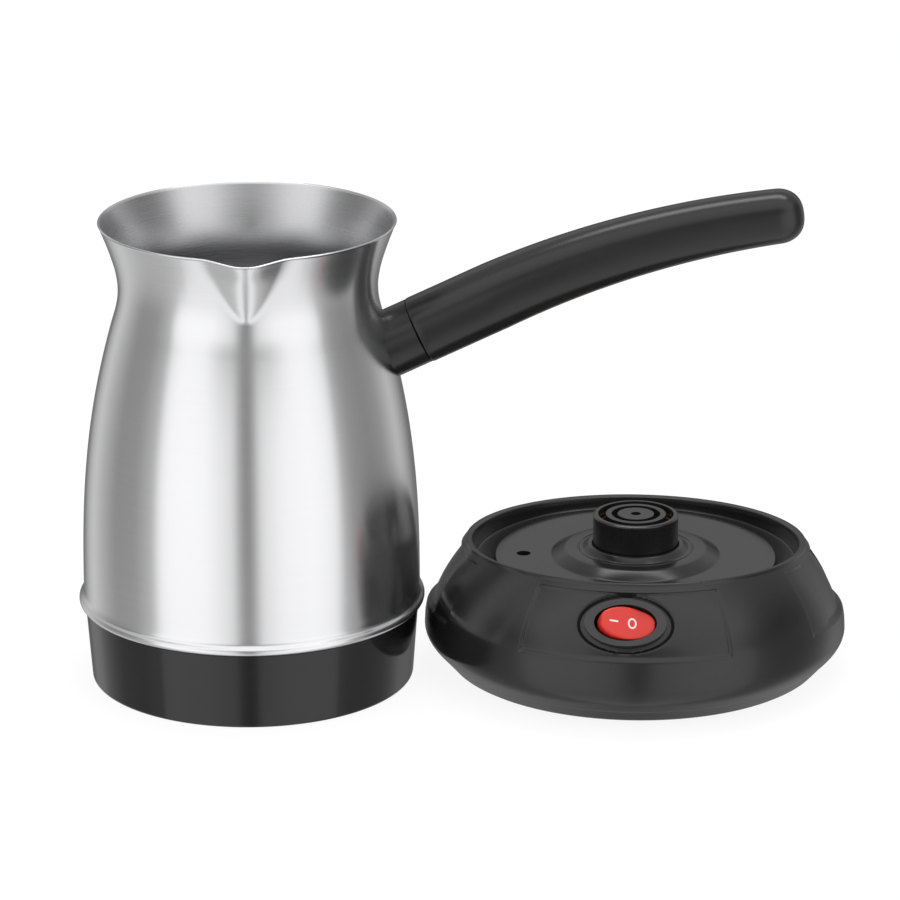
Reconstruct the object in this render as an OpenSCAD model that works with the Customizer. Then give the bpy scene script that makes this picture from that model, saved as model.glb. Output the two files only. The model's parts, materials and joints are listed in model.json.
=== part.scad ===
// Cordless electric Turkish coffee pot standing beside its power base.
// Millimetres, +Z up, table at z = 0. The pot's spout and the base's switch face -Y, the handle
// points to +X. The origin is the middle of the footprint.

/* [Placing] */
// Clear distance between the pot and the base, seen from above
stand_gap = 0.3; // [0.1:0.1:40]
// How far the pot stands in front of the base
pot_forward = 9; // [0:1:15]
// Turn of the base to the left about its own axis, degrees
face_turn = 5; // [0:1:12]

/* [Vessel] */
// Height of the rim above the table
rim_h = 159.4; // [150:0.2:175]
// Outer radius of the rim
rim_r = 49.6; // [47:0.1:52]
// Outer radius of the neck, the narrowest place
neck_r = 43.3; // [41:0.1:45]
// Height of the neck
neck_h = 136.5; // [130:0.5:140]
// Outer radius of the belly at its foot
belly_r = 57; // [56:0.1:59]
// Thickness of the steel wall
steel_t = 0.8; // [0.6:0.1:1.2]
// Height of the middle of the seam bead
seam_h = 28; // [27:0.2:34]
// Height of the seam bead
bead_h = 3; // [2.4:0.2:3.6]
// How far the bead stands out from the wall
bead_out = 1.6; // [1.2:0.1:2]

/* [Spout] */
// Radius of the spout's round mouth at the rim
spout_r = 14.7; // [12:0.1:16]
// Distance of the spout's centre from the pot's axis
spout_off = 44; // [43.5:0.1:46]
// Height of the spout from its tip to the rim
spout_drop = 22.9; // [18:0.1:26]
// Fullness of the spout: 1 is a straight cone, less is rounder
spout_full = 0.75; // [0.6:0.05:1]

/* [Heater] */
// Thickness of the steel floor
floor_t = 1.2; // [0.8:0.1:1.6]
// How far the floor's edge reaches into the seam past the wall's face
floor_grip = 0.1; // [0:0.1:0.6]
// Radius of the aluminium heat spreader
spreader_r = 42; // [40:0.5:46]
// Thickness of the heat spreader
spreader_t = 2; // [1.5:0.1:2.6]
// Radius of the heating element's ring
element_ring_r = 34.5; // [32:0.5:37]
// Radius of the element's sheath
element_r = 3.3; // [2.8:0.1:3.6]
// Angle the element's ring covers, degrees
element_sweep = 300; // [270:5:320]
// Radius of the circle of the three studs
stud_ring_r = 25; // [24:0.5:27]
// Radius of a stud's thread
stud_r = 1.5; // [1.2:0.1:1.8]
// Radius of a stud's shoulder
shoulder_r = 2.6; // [2.4:0.1:3]

/* [Skirt] */
// Outer radius of the skirt at its top
skirt_top_r = 56.5; // [55.5:0.1:58]
// Outer radius of the skirt at the table
skirt_foot_r = 54.6; // [54:0.1:55]
// Wall of the skirt
skirt_t = 2.2; // [1.8:0.1:2.6]
// Rounding of the skirt's lower corner
skirt_round = 1.2; // [0.8:0.1:1.6]
// Thickness of the gasket between skirt and bead
gasket_t = 0.6; // [0.4:0.1:1]
// Height of the cover's underside above the table
cover_h = 3.2; // [3:0.1:3.6]
// Thickness of the cover
cover_t = 2.4; // [2:0.1:2.8]
// How far the middle of the cover is raised
cover_step = 2.8; // [2.6:0.1:3.2]
// Radius of the raised middle
cover_step_r = 31; // [30:0.5:33]
// Radius of the circle of the cover's screws
cover_screw_ring_r = 46.8; // [46:0.2:47.5]

/* [Handle] */
// Height at which the handle's axis meets the pot
handle_root_h = 116.8; // [110:0.2:120]
// Rise of the handle at its root, degrees
handle_rise = 25.2; // [18:0.2:32]
// Rise of the handle at its tip, degrees
handle_tip_rise = 7.5; // [0:0.5:15]
// Length of the straight part
handle_straight = 38; // [35:1:50]
// Length of the curved part
handle_curve = 98; // [80:1:110]
// Length of the rounded end
handle_cap = 8.8; // [7:0.2:10]
// Half the height of the grip at its root
grip_root_half = 11.4; // [10.5:0.1:13]
// Half the height of the grip at its tip
grip_tip_half = 9.1; // [8:0.1:10.5]
// Width of the grip as a share of its height
grip_flat = 0.92; // [0.8:0.02:1]
// Length of the collar between pot and grip
collar_len = 10; // [8:0.5:14]
// Radius of the collar
collar_r = 11.3; // [10:0.1:12]
// Radius of the welded stud
handle_stud_r = 3; // [2.5:0.1:3.5]
// Length of the welded stud past the collar
handle_stud_len = 26; // [20:1:32]
// Outer radius of the threaded insert
insert_r = 5; // [4.5:0.1:6]

/* [Base casing] */
// Largest radius of the base
base_r = 71.8; // [71:0.1:74]
// Height at which the base is widest
base_wide_h = 14.5; // [13:0.5:16]
// Radius of the base's edge at the table
base_foot_r = 63.6; // [62.6:0.2:65]
// Height of the feet below the casing
foot_h = 2.4; // [2:0.1:3]
// Height of the joint between shell and bottom
joint_h = 6.7; // [6:0.1:7.5]
// Backward lean of the upper shell, degrees
shell_lean = 4; // [2:0.2:4.4]
// Height about which the upper shell leans
lean_pivot_h = 30; // [27:0.5:32]
// Height of the rim above the deck, measured along the leaning axis
rim_rise = 5.7; // [5:0.1:7]
// Outer radius of the rim
collar_rim_r = 58; // [57.6:0.1:58.6]
// Rounding of the rim's outer edge
rim_round = 0.8; // [0.5:0.1:1]
// Wall of the casing
shell_t = 2.4; // [2:0.1:2.8]
// Depth of the panels pressed into the wall
panel_in = 0.9; // [0.5:0.1:1.2]
// Half the angle that a panel covers, degrees
panel_half = 29.5; // [26:0.5:32]
// Height of the ledge at the panels' foot, measured along the leaning axis
panel_ledge_h = 22; // [21:0.5:23]
// Distance from the panels' top to the rim
panel_top_in = 2.5; // [2:0.1:4]
// Depth of the finger hollows in the side panels
hollow_in = 2; // [1:0.1:2.2]

/* [Pot seat] */
// Height of the deck
deck_h = 38.6; // [38:0.1:39.4]
// Radius of the deck
deck_r = 48; // [47.5:0.1:48.8]
// Depth of the channel around the deck, where the skirt stands
channel_in = 2.2; // [2:0.1:2.6]
// Clearance around the skirt in the seat
seat_gap = 0.35; // [0.3:0.05:0.6]
// Wall of the seat
seat_t = 1.4; // [1.3:0.1:1.8]
// Height of the round step in the middle of the deck
step_rise = 2.6; // [2.2:0.1:2.8]
// Radius of the round step
step_r = 28.4; // [27:0.2:29]
// Height of the collar on the step
collar_rise = 1.8; // [1.4:0.1:2]
// Radius of the collar's foot
collar_foot_r = 17.6; // [17.2:0.1:18]
// Distance of the drain hole from the base's axis
drain_off = 38; // [36:0.5:41]
// Distance of the drain hole in front of the middle
drain_front = 2.5; // [0:0.5:6]
// Radius of the drain hole
drain_r = 2; // [1.5:0.1:2.5]

/* [Coupler] */
// Radius of the spigot
spigot_r = 14.5; // [14.3:0.1:14.8]
// Height of the spigot above its collar
spigot_rise = 10.2; // [9:0.1:10.4]
// Clearance between the spigot and the pot's socket
coupler_gap = 0.8; // [0.6:0.1:1]
// Radius of the pot's outer ring contact
outer_ring_r = 11.7; // [11.6:0.05:11.8]
// Radius of the pot's inner ring contact
inner_ring_r = 7.4; // [7.3:0.05:7.5]
// Radius of the pot's earth pin
earth_pin_r = 1.2; // [1:0.1:1.3]
// Thickness of the contact metal
contact_t = 0.4; // [0.3:0.05:0.5]
// Running clearance between mating contacts
contact_gap = 0.05; // [0.03:0.01:0.08]

/* [Switch] */
// How far the switch stands out from the dome's wall
switch_out = 1.6; // [1.4:0.1:1.8]
// Depth of the switch below the rim
switch_drop = 7; // [6.5:0.1:7.5]
// Angle between the switch's axis and the horizontal, degrees
switch_lean = 41; // [39:0.5:43]
// Length of the oval flange
flange_w = 27.1; // [26:0.1:28]
// Height of the oval flange
flange_d = 16.5; // [16:0.1:17.5]
// Thickness of the flange
flange_t = 1.8; // [1.4:0.1:2]
// Length of the rocker
rocker_w = 19.5; // [18.5:0.1:20]
// Height of the rocker
rocker_d = 11.7; // [11:0.1:12]
// Angle the rocker tips to each side, degrees
rocker_tip = 12; // [8:0.5:12]
// Depth of the rocker's pivot below the flange's face
pivot_in = 3.5; // [3.3:0.1:3.7]
// Radius of the rocker's trunnions
trunnion_r = 1.2; // [1:0.1:1.4]
// Turn of the contact lever for each degree of the rocker
lever_ratio = 0.6; // [0.5:0.05:0.7]

/* [Cord inlet] */
// Radius of the hole for the cord
cord_hole_r = 3.3; // [3:0.1:3.6]
// Radius of the gland's neck
gland_r = 6.4; // [6:0.1:6.6]
// Height of the gland's axis
gland_h = 14.9; // [14.4:0.1:15.6]

/* [Hidden] */
$fn = 96;

// Clearances
slip_gap = 0.1;
pivot_gap = 0.05;
body_gap = 0.3;
cut = 1;

// Placing
bead_r = belly_r + bead_out;
axes_apart = sqrt(pow(bead_r + base_r + stand_gap, 2) - pow(pot_forward, 2));
set_w = bead_r + axes_apart + base_r;
pot_x = -set_w / 2 + bead_r;
base_x = set_w / 2 - base_r;
pot_y = -pot_forward;

// Heights in the pot, from the floor down
seam_top = seam_h + bead_h / 2;
seam_foot = seam_h - bead_h / 2;
floor_top = seam_h + floor_t / 2;
floor_foot = seam_h - floor_t / 2;
floor_r = belly_r + floor_grip;
spreader_foot = floor_foot - spreader_t;
element_h = spreader_foot - element_r;
skirt_h = seam_foot - gasket_t;
cover_top = cover_h + cover_t;
middle_foot = cover_h + cover_step;
middle_t = 1.6;
socket_mouth = middle_foot + middle_t;
socket_r = spigot_r + coupler_gap;
socket_wall = 2.4;
seat_h = deck_h - channel_in;
step_h = deck_h + step_rise;
collar_h = step_h + collar_rise;
spigot_h = collar_h + spigot_rise;
socket_roof = spigot_h - seat_h + coupler_gap;
roof_t = 1.8;
socket_top = socket_roof + roof_t;
tower_r = 9;
tower_wall = 1.4;
tower_roof_t = 1.6;
disc_r = 7;
disc_t = 0.4;
tower_h = spreader_foot - disc_t;
chamber_r = tower_r - tower_wall;
chamber_top = tower_h - tower_roof_t;
pin_r = 1.2;
blade_h = (socket_top + chamber_top) / 2;
blade_w = 3;
blade_root = -chamber_r + 1.4;
stud_angles = [30, 150, 270];
cover_screw_angles = [90, 210, 330];

// Heights in the base
deck_t = 2.2;
channel_t = 1.8;
deck_foot = deck_h - deck_t;
channel_foot = seat_h - channel_t;
rim_top_h = deck_h + rim_rise;
seat_r = skirt_foot_r + seat_gap;
seat_flare = (skirt_top_r - skirt_foot_r) / skirt_h;
spigot_flange_r = 22;
spigot_flange_top = step_h - deck_t;
spigot_flange_t = 2.2;
spigot_foot = spigot_flange_top - 10;
stem_in = 0.3;
stem_top = collar_h + 0.4;
groove_foot = collar_h + 0.4;
outer_groove = [10.2, 12.85];
inner_groove = [6.2, outer_ring_r - 3.4];
earth_groove_r = 1.7;
contact_foot = spigot_foot - 4;
case_screw_ring_r = 56.5;
case_screw_angles = [45, 135, 225, 315];
boss_r = 4;
boss_foot = 10;
pilot_r = 1.4;
foot_r = 6.5;
foot_in = 0.8;
feet_ring_r = 49;
split_h = 18.5;
dome_plug = 2;

// Curves of the vessel's wall, from the bead to the rim
belly_curve = [[belly_r, seam_h], [belly_r, seam_h + 0.28 * (neck_h - seam_h)],
               [belly_r - 0.6, seam_h + 0.545 * (neck_h - seam_h)], [neck_r + 2.5, neck_h - 12.5]];
neck_curve = [belly_curve[3], [neck_r + 1.3, neck_h - 8.5], [neck_r, neck_h - 5],
              [neck_r, neck_h]];
lip_curve = [[neck_r, neck_h], [neck_r, neck_h + 7.5], [rim_r - 2.6, rim_h - 6.9],
             [rim_r, rim_h]];

// Curves of the base's wall: the foot below its widest place, and the leaning dome above
foot_curve = [[joint_r(), joint_h], [joint_r() + 2, joint_h + 2.4], [base_r, base_wide_h - 3.5],
              [base_r, base_wide_h]];
dome_curve = [[base_r - 0.5, split_h - 0.5], [base_r - 1, split_h + 8],
              [base_r - 6.3, rim_top_h - 9.8], [collar_rim_r, rim_top_h - rim_round]];
switch_h = rim_top_h - switch_drop;
switch_off = dome_r(switch_h) + switch_out;

function bezier(p, t) = pow(1 - t, 3) * p[0] + 3 * pow(1 - t, 2) * t * p[1]
                      + 3 * (1 - t) * t * t * p[2] + pow(t, 3) * p[3];
function curve(p, n, first = 0) = [for (i = [first:n]) bezier(p, i / n)];
function inset(points, d) = [for (p = points) [p[0] - d, p[1]]];
function joint_r() = base_foot_r + (base_r - base_foot_r) * 0.4;
function oval(w, d, n = 48) = [for (i = [0:n - 1])
    [w / 2 * cos(360 * i / n), d / 2 * sin(360 * i / n)]];

module on_pot() translate([pot_x, pot_y, 0]) children();
module on_base() translate([base_x, 0, 0]) rotate([0, 0, -face_turn]) children();
module leaning() translate([0, 0, lean_pivot_h]) rotate([-shell_lean, 0, 0])
    translate([0, 0, -lean_pivot_h]) children();
module on_switch() translate([0, -switch_off, switch_h]) rotate([90 - switch_lean, 0, 0]) children();
module on_handle() translate([neck_side_r(), 0, handle_root_h]) rotate([0, 90 - handle_rise, 0])
    children();
module ring(r_out, r_in, z0, z1) translate([0, 0, z0]) difference() {
    cylinder(r = r_out, h = z1 - z0);
    translate([0, 0, -cut]) cylinder(r = r_in, h = z1 - z0 + 2 * cut);
}
module disc(r, z0, z1) translate([0, 0, z0]) cylinder(r = r, h = z1 - z0);
module around(r, angles) for (a = angles) rotate([0, 0, a]) translate([r, 0, 0]) children();
module rod(a, b, r) {
    d = b - a;
    translate(a) rotate([0, acos(d[2] / norm(d)), atan2(d[1], d[0])])
        cylinder(r = r, h = norm(d), $fn = 24);
}
module wire(points, r) {
    for (i = [0:len(points) - 2]) rod(points[i], points[i + 1], r);
    for (i = [1:len(points) - 2]) translate(points[i]) sphere(r = r * 1.06, $fn = 24);
}
module screw(r, len, head_r, head_h) {
    translate([0, 0, -head_h]) cylinder(r = head_r, h = head_h, $fn = 32);
    cylinder(r = r, h = len, $fn = 32);
}

// ---------- pot ----------

function vessel_wall() = concat(curve(belly_curve, 10), curve(neck_curve, 4, 1),
                                curve(lip_curve, 8, 1));
// Radius at which the handle's axis meets the wall
function neck_side_r() = lookup_r(handle_root_h, vessel_wall());
function lookup_r(z, wall) = lookup(z, [for (p = wall) [p[1], p[0]]]);

module vessel_body() rotate_extrude() polygon(concat([[0, seam_h]], vessel_wall(), [[0, rim_h]]));
module vessel_inside() rotate_extrude() polygon(concat(
    [[0, floor_top], [belly_r - steel_t, floor_top]],
    [for (p = vessel_wall()) if (p[1] > floor_top + cut) [p[0] - steel_t, p[1]]],
    [[rim_r - steel_t, rim_h + cut], [0, rim_h + cut]]));
module spout_body(lift = 0) translate([0, -spout_off, rim_h - spout_drop + lift]) rotate_extrude()
    polygon(concat([[0, 0]],
        [for (i = [1:8]) [spout_r * pow(i / 8, spout_full), spout_drop * i / 8]],
        [[0, spout_drop]]));
module seam_bead() rotate_extrude() {
    translate([belly_r - 1.4, seam_foot]) square([bead_r - bead_h / 2 - belly_r + 1.4, bead_h]);
    translate([bead_r - bead_h / 2, seam_h]) circle(d = bead_h, $fn = 32);
}

module vessel() color("silver") on_pot() difference() {
    union() {
        vessel_body();
        seam_bead();
        spout_body();
    }
    vessel_inside();
    spout_body(steel_t * 1.8);
    disc(floor_r, floor_foot, floor_top);
    disc(belly_r - 1.5, seam_foot - cut, floor_foot + cut / 2);
}

module heating_plate() color("gainsboro") on_pot() {
    disc(floor_r, floor_foot, floor_top);
    around(stud_ring_r, stud_angles) {
        disc(shoulder_r, socket_top, seam_h, $fn = 32);
        disc(stud_r, socket_top - 4.4, floor_foot, $fn = 32);
    }
}

module heat_spreader() color("lightgray") on_pot() difference() {
    disc(spreader_r, spreader_foot, floor_foot);
    around(stud_ring_r, stud_angles) disc(shoulder_r + slip_gap, spreader_foot - cut, floor_foot + cut);
}

module heating_element() color("dimgray") on_pot() rotate([0, 0, (360 - element_sweep) / 2])
    translate([0, 0, element_h]) rotate_extrude(angle = element_sweep)
        translate([element_ring_r, 0]) circle(r = element_r, $fn = 32);

cold_pin_r = 1.2;
cold_pin_len = 7;
cold_pin_drop = 5;
module element_pins() color("lightgray") on_pot() for (side = [-1, 1])
    rotate([0, 0, side * (360 - element_sweep) / 2])
        translate([element_ring_r, 0, element_h]) {
            rotate([side * 90, 0, 0]) cylinder(r = cold_pin_r, h = cold_pin_len, $fn = 24);
            translate([0, -side * (cold_pin_len - cold_pin_r), -cold_pin_drop])
                cylinder(r = cold_pin_r, h = cold_pin_drop, $fn = 24);
        }

ear_r = 4.6;
ear_t = 2;
module socket_shape() {
    disc(socket_r + socket_wall, socket_mouth, socket_top);
    disc(tower_r, socket_top - cut, tower_h);
    for (a = stud_angles) rotate([0, 0, a]) {
        translate([stud_ring_r, 0, socket_top - ear_t]) cylinder(r = ear_r, h = ear_t);
        translate([0, -ear_r, socket_top - ear_t]) cube([stud_ring_r, 2 * ear_r, ear_t]);
    }
}
module socket_body() color("#2b2b2b") on_pot() difference() {
    socket_shape();
    disc(socket_r, socket_mouth - cut, socket_roof);
    disc(chamber_r, socket_top, chamber_top);
    disc(pin_r + pivot_gap, chamber_top - cut, tower_h + cut, $fn = 32);
    around(stud_ring_r, stud_angles)
        disc(stud_r, socket_top - ear_t - cut, socket_top + cut, $fn = 32);
    earth_strap_shape();
    disc(earth_pin_r, socket_roof - cut, socket_top + cut, $fn = 32);
    outer_ring_tab();
    inner_ring_tab();
    cutout_terminal_shape();
}

ring_drop = 8;
tab_w = 3;
module outer_ring_tab() translate([-outer_ring_r, -tab_w / 2, socket_roof - cut])
    cube([contact_t, tab_w, roof_t + cut + 2.4]);
module socket_outer_ring() color("goldenrod") on_pot() {
    ring(outer_ring_r, outer_ring_r - contact_t, socket_roof - ring_drop, socket_roof);
    outer_ring_tab();
}
module inner_ring_tab() translate([-inner_ring_r, -tab_w / 2, socket_roof - cut])
    cube([contact_t, tab_w, blade_h - contact_t / 2 - contact_gap - socket_roof + cut]);
module socket_inner_ring() color("goldenrod") on_pot() {
    ring(inner_ring_r, inner_ring_r - contact_t, socket_roof - ring_drop, socket_roof);
    inner_ring_tab();
}

strap_t = 0.5;
module earth_strap_shape() rotate([0, 0, stud_angles[0]])
    translate([earth_pin_r, -tab_w / 2, socket_roof + 0.6])
        cube([stud_ring_r - stud_r - earth_pin_r, tab_w, strap_t]);
module earth_pin() color("goldenrod") on_pot()
    disc(earth_pin_r, socket_roof - ring_drop - 0.6, socket_top, $fn = 32);
module earth_strap() color("goldenrod") on_pot() difference() {
    earth_strap_shape();
    disc(earth_pin_r, socket_roof, socket_top, $fn = 32);
    rotate([0, 0, stud_angles[0]]) translate([stud_ring_r, 0, 0])
        disc(stud_r, socket_roof, socket_top, $fn = 32);
}

nut_r = 3;
nut_t = 2;
module socket_nuts() color("silver") on_pot() around(stud_ring_r, stud_angles)
    translate([0, 0, socket_top - ear_t - nut_t]) difference() {
        cylinder(r = nut_r, h = nut_t, $fn = 6);
        translate([0, 0, -cut]) cylinder(r = stud_r, h = nut_t + 2 * cut, $fn = 32);
    }

module thermostat_disc() color("tan") on_pot() disc(disc_r, tower_h, spreader_foot, $fn = 48);

pin_top_gap = 0.1;
blade_arm = 11;
pin_foot = blade_h + contact_t / 2 + contact_gap;
pin_tip_r = 0.5;
module cutout_pin() color("ivory") on_pot() {
    translate([0, 0, pin_foot]) cylinder(r1 = pin_tip_r, r2 = pin_r, h = pin_r - pin_tip_r, $fn = 32);
    disc(pin_r, pin_foot + pin_r - pin_tip_r, tower_h - pin_top_gap, $fn = 32);
}
module cutout_blade() color("goldenrod") on_pot() {
    translate([-inner_ring_r, -blade_w / 2, blade_h - contact_t / 2])
        cube([blade_root + blade_arm + inner_ring_r, blade_w, contact_t]);
    translate([blade_root + blade_arm - 1.3, 0, blade_h])
        cylinder(r = 1.1, h = contact_t / 2 + 0.3, $fn = 32);
}
module cutout_terminal_shape() translate([blade_root + blade_arm - 2.6, -tab_w / 2,
        blade_h + contact_t / 2 + 0.3 + contact_gap])
    cube([tower_r + 4 - blade_root - blade_arm + 2.6, tab_w, contact_t]);
module cutout_terminal() color("goldenrod") on_pot() cutout_terminal_shape();

lead_r = 0.9;
module element_leads() color("white") on_pot() {
    half_gap = (360 - element_sweep) / 2;
    reach = cold_pin_len - cold_pin_r;
    end_x = element_ring_r * cos(half_gap) + reach * sin(half_gap);
    end_y = element_ring_r * sin(half_gap) - reach * cos(half_gap);
    foot = element_h - cold_pin_drop - lead_r;
    over = socket_top + 1.8;
    low = socket_top - 5.2;
    // from the cut-out terminal to one cold pin
    wire([[tower_r + 4 + lead_r, 0, blade_h + 0.7], [19.5, -2, over + 1], [25, -6, low],
          [end_x, -end_y, low], [end_x, -end_y, foot]], lead_r);
    // from the outer ring's tab to the other cold pin
    wire([[-outer_ring_r - lead_r, 0, over - 0.4], [-17, 7, over], [-12.5, 16.5, over],
          [-4, 24, low], [end_x, end_y, low], [end_x, end_y, foot]], lead_r);
}

function skirt_r(z) = skirt_foot_r + (skirt_top_r - skirt_foot_r) * z / skirt_h;
function corner(r, n) = [for (i = [0:n]) [skirt_r(skirt_round) - skirt_round * (1 - sin(90 * i / n)),
                                         skirt_round * (1 - cos(90 * i / n))]];
shelf_t = 1.8;
shelf_in = 10;
module skirt() color("#151515") on_pot() difference() {
    union() {
        rotate_extrude() polygon(concat(corner(skirt_round, 6), [[skirt_top_r, skirt_h],
            [skirt_top_r - skirt_t, skirt_h], [skirt_foot_r - skirt_t, 0]]));
        rotate_extrude() polygon([[skirt_foot_r - skirt_t - shelf_in, cover_top],
            [skirt_r(cover_top) - skirt_t / 2, cover_top],
            [skirt_r(cover_top + shelf_t) - skirt_t / 2, cover_top + shelf_t],
            [skirt_foot_r - skirt_t - shelf_in, cover_top + shelf_t]]);
        around(cover_screw_ring_r, cover_screw_angles)
            disc(cover_boss_r, cover_top + shelf_t / 2, cover_top + cover_screw_len + 0.5);
    }
    around(cover_screw_ring_r, cover_screw_angles)
        disc(cover_screw_r, cover_top - cut, cover_top + cover_screw_len - 0.5, $fn = 32);
}
cover_boss_r = 3;
cover_screw_len = 6.5;
cover_screw_r = 1.3;
cover_screw_head = 1.3;

module skirt_gasket() color("#3a3a3a") on_pot()
    ring(skirt_top_r - 0.3, skirt_top_r - skirt_t - 0.4, skirt_h, seam_foot);

cover_hole_r = collar_foot_r + 1;
module bottom_cover() color("#202020") on_pot() difference() {
    union() {
        disc(skirt_r(cover_h) - skirt_t - slip_gap, cover_h, cover_top);
        disc(cover_step_r + middle_t, cover_h, socket_mouth);
    }
    disc(cover_step_r, cover_h - cut, middle_foot);
    disc(cover_hole_r, cover_h - cut, socket_mouth + cut);
    around(cover_screw_ring_r, cover_screw_angles) {
        disc(cover_screw_r + slip_gap, cover_h - cut, cover_top + cut, $fn = 32);
        disc(2.5, cover_h - cut, cover_h + cover_screw_head, $fn = 32);
    }
}
module cover_screws() color("silver") on_pot() around(cover_screw_ring_r, cover_screw_angles)
    translate([0, 0, cover_h + cover_screw_head])
        screw(cover_screw_r, cover_screw_len, 2.4, cover_screw_head);

// ---------- handle ----------

pad_r = 8;
pad_t = 2;
module handle_bracket() color("silver") on_pot() difference() {
    on_handle() {
        translate([0, 0, -8]) cylinder(r = pad_r, h = 8 + pad_t, $fn = 48);
        cylinder(r = handle_stud_r, h = collar_len + handle_stud_len, $fn = 48);
    }
    vessel_body();
}
module handle_collar() color("#181818") on_pot() difference() {
    on_handle() difference() {
        translate([0, 0, -10]) cylinder(r = collar_r, h = 10 + collar_len, $fn = 64);
        translate([0, 0, -11]) cylinder(r = pad_r, h = 11 + pad_t, $fn = 48);
        cylinder(r = handle_stud_r, h = collar_len + cut, $fn = 48);
    }
    vessel_body();
}
insert_len = 22;
module handle_insert() color("goldenrod") on_pot() on_handle() translate([0, 0, collar_len]) difference() {
    cylinder(r = insert_r, h = insert_len, $fn = 48);
    translate([0, 0, -cut]) cylinder(r = handle_stud_r, h = insert_len + 2 * cut, $fn = 48);
}

// Rise of the handle's axis at distance s from the pot, and its path in the XZ plane
handle_len = handle_straight + handle_curve;
bend_r = handle_curve / ((handle_rise - handle_tip_rise) * PI / 180);
function rise(s) = s < handle_straight ? handle_rise
    : handle_rise - (handle_rise - handle_tip_rise) * (min(s, handle_len) - handle_straight) / handle_curve;
function along(s) = s < handle_straight
    ? [neck_side_r() + s * cos(handle_rise), handle_root_h + s * sin(handle_rise)]
    : along_curve(min(s, handle_len))
      + max(0, s - handle_len) * [cos(handle_tip_rise), sin(handle_tip_rise)];
function along_curve(s) = [neck_side_r() + handle_straight * cos(handle_rise)
                               + bend_r * (sin(handle_rise) - sin(rise(s))),
                           handle_root_h + handle_straight * sin(handle_rise)
                               + bend_r * (cos(rise(s)) - cos(handle_rise))];
function grip_half(s) = s < handle_straight ? grip_root_half
    : grip_root_half - (grip_root_half - grip_tip_half) * (s - handle_straight) / handle_curve;
function rounded(v) = sign(v) * pow(abs(v), 0.86);
// One ring of the grip: s is its place, k its share of the full section
function grip_ring(s, k, n) = [for (i = [0:n - 1]) let (a = 360 * i / n, c = along(s),
        up = k * grip_half(min(s, handle_len)) * rounded(cos(a)),
        side = k * grip_flat * grip_half(min(s, handle_len)) * rounded(sin(a)))
    [c[0] - up * sin(rise(s)), side, c[1] + up * cos(rise(s))]];
grip_n = 24;
cap_n = 5;
grip_bevel = 0.8;
grip_start = collar_len + grip_bevel;
grip_steps = concat([[collar_len, 0.96], [grip_start, 1]],
    [for (i = [1:12]) [grip_start + (handle_len - grip_start) * i / 12, 1]],
    [for (i = [1:cap_n]) [handle_len + handle_cap * sin(78 * i / cap_n), pow(cos(78 * i / cap_n), 0.8)]]);
grip_points = [for (g = grip_steps) each grip_ring(g[0], g[1], grip_n)];
grip_faces = concat([[for (i = [0:grip_n - 1]) i]],
    [for (j = [0:len(grip_steps) - 2], i = [0:grip_n - 1]) each [
        [j * grip_n + i, (j + 1) * grip_n + i, j * grip_n + (i + 1) % grip_n],
        [(j + 1) * grip_n + i, (j + 1) * grip_n + (i + 1) % grip_n, j * grip_n + (i + 1) % grip_n]]],
    [[for (i = [grip_n - 1:-1:0]) (len(grip_steps) - 1) * grip_n + i]]);
module handle_grip() color("#181818") on_pot() difference() {
    polyhedron(grip_points, grip_faces);
    on_handle() {
        translate([0, 0, collar_len - cut]) cylinder(r = insert_r, h = insert_len + cut, $fn = 48);
        cylinder(r = handle_stud_r + slip_gap, h = collar_len + handle_stud_len + 0.5, $fn = 48);
    }
}

// ---------- base casing ----------

// The wall below the split, upright, and the dome above it, leaning back; d is an inset
module casing_foot(d = 0) intersection() {
    rotate_extrude() polygon(concat([[0, joint_h - (d > 0 ? cut : 0)]],
        d > 0 ? [[foot_curve[0][0] - d, joint_h - cut]] : [],
        inset(curve(foot_curve, 6), d),
        [[base_r - d, split_h], [base_r - 0.8 - d, split_h + 8], [0, split_h + 8]]));
    leaning() translate([0, 0, -40]) cylinder(r = 2 * base_r, h = 40 + split_h);
}
module casing_dome(d = 0) leaning() rotate_extrude() polygon(concat([[0, split_h - dome_plug]],
    [[base_r - dome_plug - d, split_h - dome_plug], [base_r - dome_plug - d, split_h]],
    [for (p = curve(dome_curve, 8)) if (p[1] > split_h) [p[0] - d, p[1] - d * 0.6]],
    d > 0 ? [] : [[collar_rim_r - 0.3 * rim_round, rim_top_h - 0.3 * rim_round],
                  [collar_rim_r - rim_round, rim_top_h]],
    [[0, rim_top_h - d]]));
module casing(d = 0) {
    casing_foot(d);
    casing_dome(d);
}
module panel_cut(a) leaning() rotate([0, 0, a - panel_half]) rotate_extrude(angle = 2 * panel_half)
    polygon(concat([[base_r + 5, panel_ledge_h]],
        [for (p = curve(dome_curve, 8))
            if (p[1] > panel_ledge_h + 2 && p[1] < rim_top_h - panel_top_in) [p[0] - panel_in, p[1]]],
        [[base_r + 5, rim_top_h - panel_top_in]]));
hollow_r = 32;
hollow_h = rim_top_h - 13.3;
function dome_r(z) = lookup_r(z, curve(dome_curve, 8));
module finger_hollow(a, grow = 0) leaning() rotate([0, 0, a])
    translate([dome_r(hollow_h) - panel_in + hollow_r - hollow_in, 0, hollow_h]) sphere(r = hollow_r + grow);
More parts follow.
